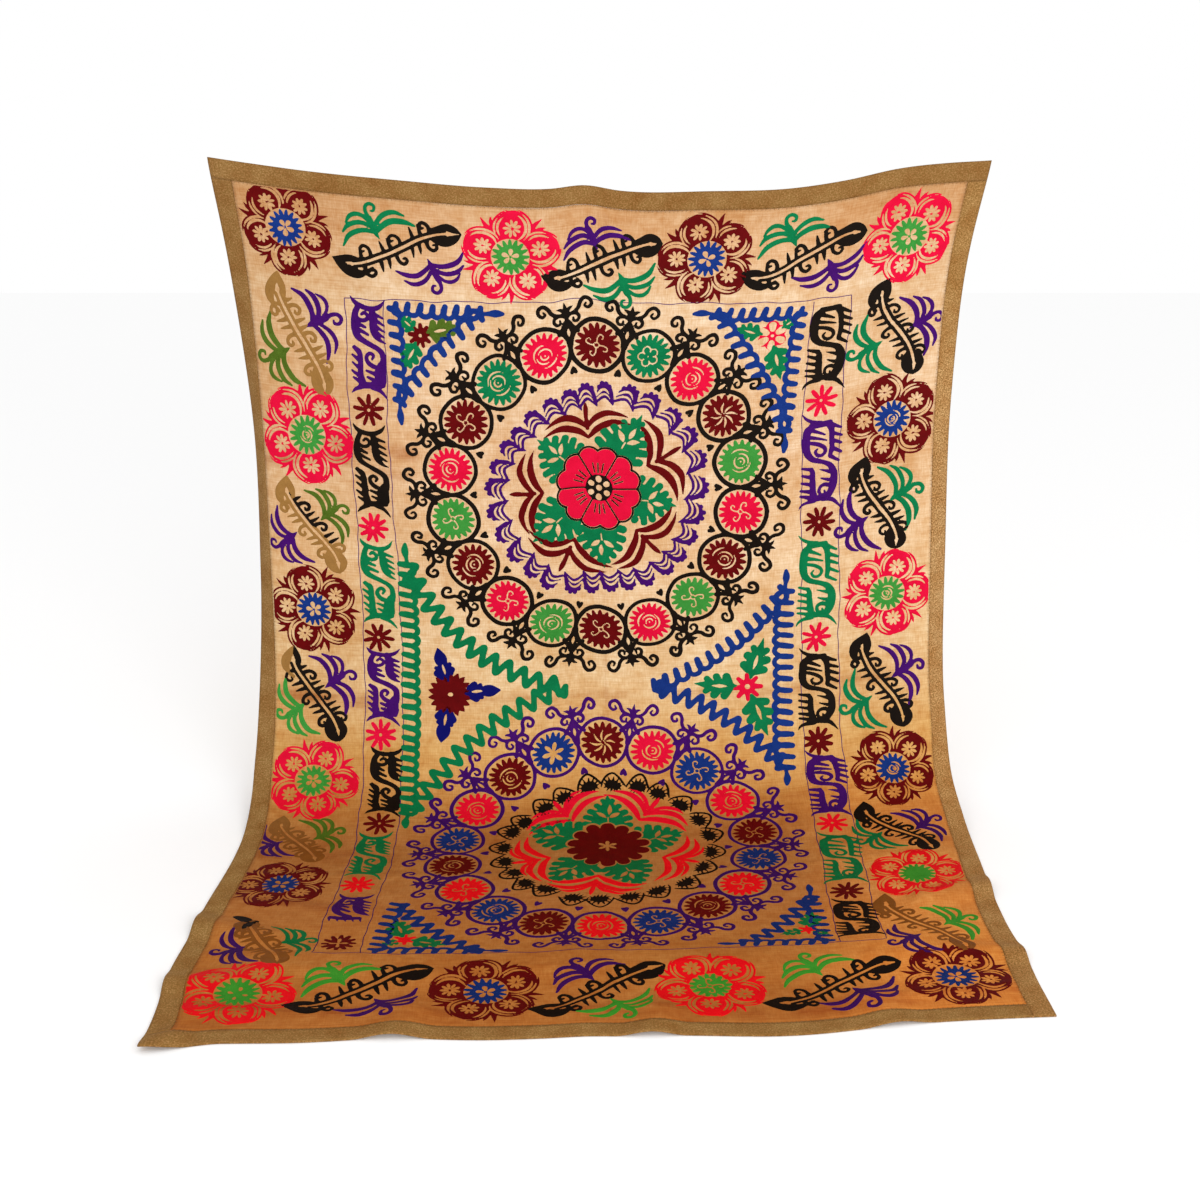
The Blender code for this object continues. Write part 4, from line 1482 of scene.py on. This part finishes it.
# %% Silk
SILK_COLOURS = {                    # lighter and darker tone, painted shade on the floor, finish
    "maroon": ("#6C0709", "#460002", "#E2A080", "maroon_silk"),
    "pink": ("#E61240", "#BE0026", "#F8D06A", "pink_silk"),
    "black": ("#1C140D", "#0B0705", "#D0A880", "black_silk"),
    "purple": ("#4A106E", "#29004A", "#D6D6C3", "purple_silk"),
    "blue": ("#1A3A84", "#051E60", "#C8C8C6", "blue_silk"),
    "navy": ("#0E1068", "#04044C", "#C8C8C6", "blue_silk"),
    "emerald": ("#0A804C", "#005832", "#E0D5BD", "emerald_silk"),
    "leaf_green": ("#479842", "#1F7422", "#E8E8AA", "leaf_green_silk"),
    "olive": ("#5C7828", "#324406", "#E0E0B0", "olive_silk"),
    "tan": ("#A47840", "#7D592A", "#C8A070", "tan_silk"),
}
STITCH_ROW = 1.9                    # millimetres from row to row of the silk
ROW_SHEEN = 0.16                     # painted sheen: how far a row moves the colour from the dark to the light tone
ROW_RELIEF = 0.35                   # how high a row stands beside the single strands


def silk_material(thread, light, dark, floor_shade):
    """Silk: two tones of one dye in soft patches, and rows of thread in colour and relief.

    The rows are a sine of the depth: a painted sheen in the colour, and a relief, of stitches
    laid side by side.
    """
    paint, tree = new_paint(thread + " silk")
    # Painted shade: the silk is darker and warmer where it lies on the floor.
    flat, fade = cloth_fade(tree, ((0, "#FFFFFF"), (1150, "#FFFFFF"), (1480, floor_shade), (2190, floor_shade)))
    patches = noise(tree, flat, 28.0, 4.0, 0.7)
    strands = noise(tree, flat, 520.0, 2.0)
    turns = maths(tree, "MULTIPLY", read_points(tree, "depth"), 2 * math.pi / STITCH_ROW)
    rows = maths(tree, "SINE", turns)
    tone = maths(tree, "MULTIPLY_ADD", rows, ROW_SHEEN, patches)
    dyed = mixed(tree, "MIX", tone, linear(dark), linear(light))
    relief = maths(tree, "MULTIPLY_ADD", rows, ROW_RELIEF, strands)
    set_shader(tree, mixed(tree, "MULTIPLY", 1.0, dyed, fade), 0.6, 0.04,
               Normal=bumped(tree, relief, 0.35, 0.0004))
    return paint


# %% Raise each silk
BARE_EDGE = 2                       # millimetres of bare cotton beside the binding


def keep_on_panel(depth):
    """The canvas with nothing stitched on the bare edge."""
    beside = np.abs(canvas_across) > inner_side - BARE_EDGE
    past = (canvas_down < inner_top + BARE_EDGE) | (canvas_down > inner_bottom - BARE_EDGE)
    return np.where(beside[None, :] | past[:, None], OUTSIDE, depth)


silk_paints = {}
for thread, (light, dark, floor_shade, slot) in SILK_COLOURS.items():
    row, col, deep, faces = outline_surface(keep_on_panel(canvas[thread]))
    across = canvas_across[0] + col * PITCH
    down = canvas_down[0] + row * PITCH
    roll = 1 - np.minimum(deep / SILK_ROLL, 1)
    height = np.where(deep > 0, SILK_HEIGHT * np.sqrt(1 - roll ** 2), -TUCK)
    points = on_cloth(across, down, height)
    material = silk_paints[thread] = silk_material(thread, light, dark, floor_shade)
    parts = math.ceil(len(faces) / MOST_TRIANGLES)
    levels = np.quantile(down[faces[:, 0]], np.linspace(0, 1, parts + 1)[1:-1])
    band = np.searchsorted(levels, down[faces[:, 0]])
    for part in range(parts):
        used, new_faces = np.unique(faces[band == part], return_inverse=True)
        mesh = bpy.data.meshes.new("silk_" + thread)
        fill_mesh(mesh, points[used], new_faces.reshape(-1, 3))
        keep_at_points(mesh, "depth", deep[used])
        lay_uv(mesh, across[used], down[used])
        name = "silk_" + thread + (f"_{part + 1}" if parts > 1 else "")
        new_piece(name, mesh, material)
        print(name, "triangles:", len(mesh.polygons))

# %% [markdown]
# ## Ruled lines
# Thin lines of dark thread rule off the border and the two side columns. They are finer than the
# canvas can hold, so each is a narrow ribbon of its own: four points across, pressed into the
# cotton at both edges, and a row of points every few millimetres along.

# %% Ruled lines
LINE_HALF = 0.95                    # millimetres
LINE_STEP = 5
LINE_RISE = 0.4
RIBBON_OFFS = (-1, -0.45, 0.45, 1)  # the four points across, in half widths
LINE_WANDER = 1.6                   # a ruled line strays this much more than a stroke


def ribbon(across, down):
    """Flat places, heights and faces of a thin raised line through flat points."""
    run = np.stack([np.gradient(across), np.gradient(down)], -1)
    run = run / np.linalg.norm(run, axis=-1, keepdims=True)
    offs = np.array(RIBBON_OFFS) * LINE_HALF
    flat_x = across[:, None] - run[:, 1:] * offs
    flat_y = down[:, None] + run[:, :1] * offs
    height = np.array([-TUCK, LINE_RISE, LINE_RISE, -TUCK]) + 0 * flat_x
    corner = np.arange(flat_x.size).reshape(flat_x.shape)
    quads = np.stack([corner[:-1, :-1], corner[:-1, 1:], corner[1:, 1:], corner[1:, :-1]], -1)
    return flat_x.ravel(), flat_y.ravel(), height.ravel(), quads.reshape(-1, 4)


def ruled(start, end, bow):
    """Flat points of a line drawn by hand from start to end, its middle bowed up the cloth."""
    count = round(math.dist(start, end) / LINE_STEP) + 1
    share = np.linspace(0, 1, count)
    across = start[0] + (end[0] - start[0]) * share
    down = start[1] + (end[1] - start[1]) * share - bow * np.sin(math.pi * share)
    right, below = unsteady(across, down)
    return across + LINE_WANDER * right, down + LINE_WANDER * below


RULED = (                           # from, to, bow
    ((-506, 250), (506, 246), 14), ((-506, 1918), (506, 1914), 4),
    ((-506, 250), (-508, 1918), 0), ((-427, 250), (-424, 1918), 0),
    ((428, 248), (426, 1914), 0), ((506, 246), (508, 1914), 0),
)
lines = [ribbon(*ruled(*row)) for row in RULED]
starts = np.cumsum([0] + [len(line[0]) for line in lines[:-1]])
line_x, line_y, line_height = (np.concatenate([line[k] for line in lines]) for k in range(3))
line_mesh = bpy.data.meshes.new("ruled_lines")
fill_mesh(line_mesh, on_cloth(line_x, line_y, line_height),
          np.concatenate([line[3] + start for line, start in zip(lines, starts)]))
keep_at_points(line_mesh, "depth", line_height > 0)
lay_uv(line_mesh, line_x, line_y)
new_piece("ruled_lines", line_mesh, silk_paints["purple"])
print("ruled lines:", len(RULED), "faces:", len(line_mesh.polygons))

# %% [markdown]
# ## Stitches of the binding
# The strip is sewn down by hand: short slanting stitches of a coarse thread run over its inner
# edge onto the cotton, one every eight millimetres.

# %% Whip stitches
STITCH_STEP = 8.0                   # millimetres
STITCH_HALF = (1.7, 0.55, 0.5)      # half length, half width, height over the cotton
END_HEIGHT, SIDE_HEIGHT = 0.15, 0.2
STITCH_SLANT = 0.35                 # along the seam for each millimetre across it
SEAM_INSET = 1.9                    # from the panel's edge to the middle of the stitches


def whip_stitches(start, end):
    """Corners of short stitches across a seam from start to end: six a stitch, as a spindle has.

    Each is the middle plus or minus its half length, half width and height, one at a time.
    """
    count = round(math.dist(start, end) / STITCH_STEP)
    share = (np.arange(count) + 0.5)[:, None, None] / count
    middle = np.array(start) + share * (np.array(end) - np.array(start))
    run = (np.array(end) - np.array(start)) / math.dist(start, end)
    side = np.array([run[1], -run[0]])
    lean = side + STITCH_SLANT * run
    long, wide, high = STITCH_HALF
    flat_places = middle + np.array([long * lean, -long * lean, wide * run, -wide * run,
                                     0 * run, 0 * run])
    heights = np.array([END_HEIGHT, END_HEIGHT, SIDE_HEIGHT, SIDE_HEIGHT, high, -TUCK])
    return flat_places.reshape(-1, 2), np.tile(heights, count)


SPINDLE = np.array([                # corners: two ends, two sides, top, bottom
    (0, 2, 5), (2, 1, 5), (1, 3, 5), (3, 0, 5), (2, 0, 4), (1, 2, 4), (3, 1, 4), (0, 3, 4),
])
seam_x = inner_side - SEAM_INSET
seam_top, seam_bottom = inner_top + SEAM_INSET, inner_bottom - SEAM_INSET
SEAM_CORNERS = ((-seam_x, seam_top), (seam_x, seam_top), (seam_x, seam_bottom),
                (-seam_x, seam_bottom))
runs = [whip_stitches(SEAM_CORNERS[k], SEAM_CORNERS[(k + 1) % 4]) for k in range(4)]
stitch_flat = np.concatenate([run[0] for run in runs])
stitch_height = np.concatenate([run[1] for run in runs])
stitch_count = len(stitch_flat) // 6
stitch_faces = (6 * np.arange(stitch_count)[:, None, None] + SPINDLE).reshape(-1, 3)
stitch_mesh = bpy.data.meshes.new("whip_stitches")
fill_mesh(stitch_mesh, on_cloth(stitch_flat[:, 0], stitch_flat[:, 1], stitch_height), stitch_faces)
lay_uv(stitch_mesh, stitch_flat[:, 0], stitch_flat[:, 1])
print("whip stitches:", stitch_count)

# A matt brown thread, twisted: the eye sees light and dark specks along it. It is darker where
# it lies on the floor: painted shade, as on the cotton.
thread_paint, tree = new_paint("coarse sewing thread")
flat, fade = cloth_fade(tree, ((0, "#B08C58"), (1300, "#B08C58"), (1500, "#8E683A")))
twist = noise(tree, flat, 700.0, 2.0)
set_shader(tree, mixed(tree, "MULTIPLY", twist, fade, linear("#A08C74")), 0.8, 0.1)
new_piece("whip_stitches", stitch_mesh, thread_paint)

# %% [markdown]
# ## The cotton ground
# The cotton is cream above and honey brown where it lies on the floor: that darker, browner
# part is painted shade, as the floor part gets less light. Slubs run both ways, and brown streaks
# of old damp cross the middle, with painted crease shade where they follow the creases. The
# streaks are soft lines kept at the grid's points, broken up by noise in the shader.

# %% Stains
# Most lie along the creases: there the brown is stain and painted crease shade together.
STAINS_AND_CREASE_SHADE = (                          # from across, down, to across, down, half width, strength
    (-560, 520, -380, 548, 26, 0.75),
    (-700, 575, -520, 560, 30, 0.8),
    (-460, 590, -300, 600, 18, 0.5),
    (-700, 1085, -420, 1110, 26, 0.7),
    (-300, 1090, 300, 1086, 14, 0.35),
    (330, 1100, 700, 1080, 22, 0.55),
    (260, 1345, 700, 1338, 16, 0.5),
    (-690, 1500, -430, 1522, 30, 0.6),
    (-690, 1700, -380, 1745, 28, 0.6),
    (430, 1500, 700, 1530, 30, 0.6),
    (-690, 2080, -250, 2116, 32, 0.6),
    (-120, 2105, 250, 2120, 30, 0.6),
    (330, 2120, 690, 2095, 34, 0.7),
    (-680, 1905, -420, 1930, 26, 0.5),
    (-30, 300, 60, 330, 16, 0.4),
    (12, 60, 12, 2120, 7, 0.5),
)
stain_and_crease_shade = np.clip(ridge_height(ground_flat_x, ground_flat_y, STAINS_AND_CREASE_SHADE), 0, 1)


# %% Cotton
# Painted shade down the cloth: darker at the top edge, under the binding's folds, and honey brown where
# it lies on the floor, there as light as the floor's right side; the shade coat darks the rest.
COTTON_TONE_AND_SHADE = (
    (0, "#CBA881"), (110, "#DCBA96"), (230, "#E8D4B9"), (560, "#E7CDAF"), (800, "#EED7B6"),
    (1020, "#F1DDB8"), (1200, "#DEB87A"), (1330, "#D79E57"), (1440, "#D28F4B"), (1560, "#D2934F"),
    (1700, "#D89551"), (1900, "#DF9749"), (2190, "#DA8D42"),
)
# Kept at the points: the sides are darker, with soil and with painted shade where they curl back from
# the light, the left most; the shade mask is painted shade of the floor part, less to the right.
low_share = ease((ground_flat_y - 1200) / 250)      # 0 where it hangs, 1 where it lies
left_soil_and_shade = ease((-ground_flat_x - 330) / 240)      # towards the two sides
right_soil_and_shade = ease((ground_flat_x - 360) / 220)
soil_and_side_shade = (0.65 * left_soil_and_shade + 0.3 * right_soil_and_shade) * (1 - low_share)
shade = low_share * (1 - 0.8 * ease((ground_flat_x - 300) / 250))

# Cream cotton, matt: the eye sees slubs both ways, cloudy soil, fine light and dark specks, and
# painted shade on the sides and where it lies on the floor.
cotton, tree = new_paint("unbleached cotton")
flat, fade = cloth_fade(tree, COTTON_TONE_AND_SHADE)
clouds = noise(tree, flat, 6.0, 6.0, 0.65)
mottle = noise(tree, flat, 42.0, 4.0, 0.7)
warp = noise(tree, flat, 420.0, 3.0, stretch=(1.0, 0.10, 1.0))
weft = noise(tree, flat, 330.0, 3.0, stretch=(0.05, 1.0, 1.0))
streak = spread_out(tree, noise(tree, flat, 30.0, 5.0, stretch=(0.35, 1.0, 1.0)), 3.0, -1.0)
COTTON_COATS = (                    # kind of blend, how much of it, and its colour
    ("MULTIPLY", read_points(tree, "soil_and_side_shade"), "#E9DCC8"),
    ("MULTIPLY", read_points(tree, "shade"), "#CFCDCF"),
    ("MULTIPLY", spread_out(tree, clouds, 2.6, -0.95), "#E8D0AE"),
    ("MULTIPLY", spread_out(tree, mottle, 2.6, -1.0), "#EBD8BC"),
    ("SCREEN", spread_out(tree, mottle, -3.0, 1.25), "#4A3A28"),
    ("MULTIPLY", spread_out(tree, weft, 1.6, -0.6), "#E2C8A6"),
    ("MULTIPLY", spread_out(tree, warp, 1.6, -0.6), "#E6D0B2"),
    ("MULTIPLY", maths(tree, "MULTIPLY", read_points(tree, "stain_and_crease_shade"), streak), "#C08448"),
)
colour = fade
for kind, share, coat in COTTON_COATS:
    colour = mixed(tree, kind, share, colour, linear(coat))
weave_relief = bumped(tree, maths(tree, "ADD", warp, weft), 0.4, 0.0005)
crumple = noise(tree, flat, 20.0, 3.0)
set_shader(tree, colour, 0.9, 0.1, Normal=bumped(tree, crumple, 0.6, 0.006, Normal=weave_relief))


# %% The ground piece
def thicken(piece, thickness):
    """Adds the sheet's thickness behind its front face."""
    solid = piece.modifiers.new("thickness", "SOLIDIFY")
    solid.thickness = thickness * MM
    solid.offset = -1
    solid.use_even_offset = False


ground_mesh = grid_mesh("suzani_ground", ground_front)
for name, values in (("stain_and_crease_shade", stain_and_crease_shade), ("soil_and_side_shade", soil_and_side_shade), ("shade", shade)):
    keep_at_points(ground_mesh, name, values)
lay_uv(ground_mesh, ground_flat_x, ground_flat_y)
ground = new_piece("suzani_ground", ground_mesh, cotton)
thicken(ground, PANEL_THICKNESS)
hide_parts("ground_panel")

# %% [markdown]
# ## The binding
# A coarse khaki strip is sewn along all four edges: the right one runs to the bottom corner, and
# the others butt against their neighbours. Each strip is its own sheet on the same folds, a
# little thicker than the ground.

# %% Khaki strip
def strip_material(name, stops):
    """A coarse khaki weave: speckled yarn, lighter and darker, in blotches, and its relief."""
    paint, tree = new_paint(name)
    flat, fade = cloth_fade(tree, stops)
    speckle = noise(tree, flat, 330.0, 3.0, 0.7)
    blotch = noise(tree, flat, 22.0, 5.0, 0.65)
    colour = mixed(tree, "MIX", spread_out(tree, speckle, 3.4, -1.35), linear("#80602F"), fade)
    colour = mixed(tree, "SCREEN", spread_out(tree, speckle, 3.4, -1.7), colour, linear("#7A6646"))
    colour = mixed(tree, "MULTIPLY", spread_out(tree, blotch, 2.2, -0.7), colour, linear("#D8BE98"))
    set_shader(tree, colour, 0.9, 0.1, Normal=bumped(tree, speckle, 0.5, 0.0007))
    return paint


khaki = strip_material("khaki strip", (
    (0, "#A0764A"), (700, "#A27C52"), (1250, "#A67E50"), (1600, "#A67E4A"), (2190, "#A67A48")))
# The right strip is a lighter copy: painted light, as the lamp on the right lights that side more.
lit_khaki = strip_material("khaki strip lit from the right", (
    (0, "#B88C58"), (240, "#C0925C"), (500, "#E0B07A"), (900, "#E6B884"), (1300, "#D6A068"),
    (1600, "#C4905A"), (2190, "#BC8A56")))

# %% The four strips
side_end = CLOTH_LENGTH - BINDING_WIDTH
STRIPS = (                          # node, from across, to across, from down, to down
    ("binding_top", -HALF_WIDTH, HALF_WIDTH, 0, BINDING_WIDTH),
    ("binding_left", -HALF_WIDTH, -HALF_WIDTH + BINDING_WIDTH, inner_top, side_end - SEAM_GAP),
    ("binding_right", HALF_WIDTH - BINDING_WIDTH, HALF_WIDTH, inner_top, CLOTH_LENGTH),
    ("binding_bottom", -HALF_WIDTH, inner_side, side_end, CLOTH_LENGTH),
)
STRIP_CELL = 6.5                    # millimetres between a strip's grid lines
for name, left, right, top, bottom in STRIPS:
    strip_x, strip_y, strip_front, _ = hung_grid(
        evenly(left, right, STRIP_CELL), evenly(top, bottom, STRIP_CELL), BINDING_THICKNESS)
    strip_mesh = grid_mesh(name + "_strip", strip_front)
    lay_uv(strip_mesh, strip_x, strip_y)
    paint = lit_khaki if name == "binding_right" else khaki
    strip = new_piece(name + "_strip", strip_mesh, paint)
    thicken(strip, BINDING_THICKNESS)
    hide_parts(name)
    print(name, "grid:", strip_front.shape[:2])
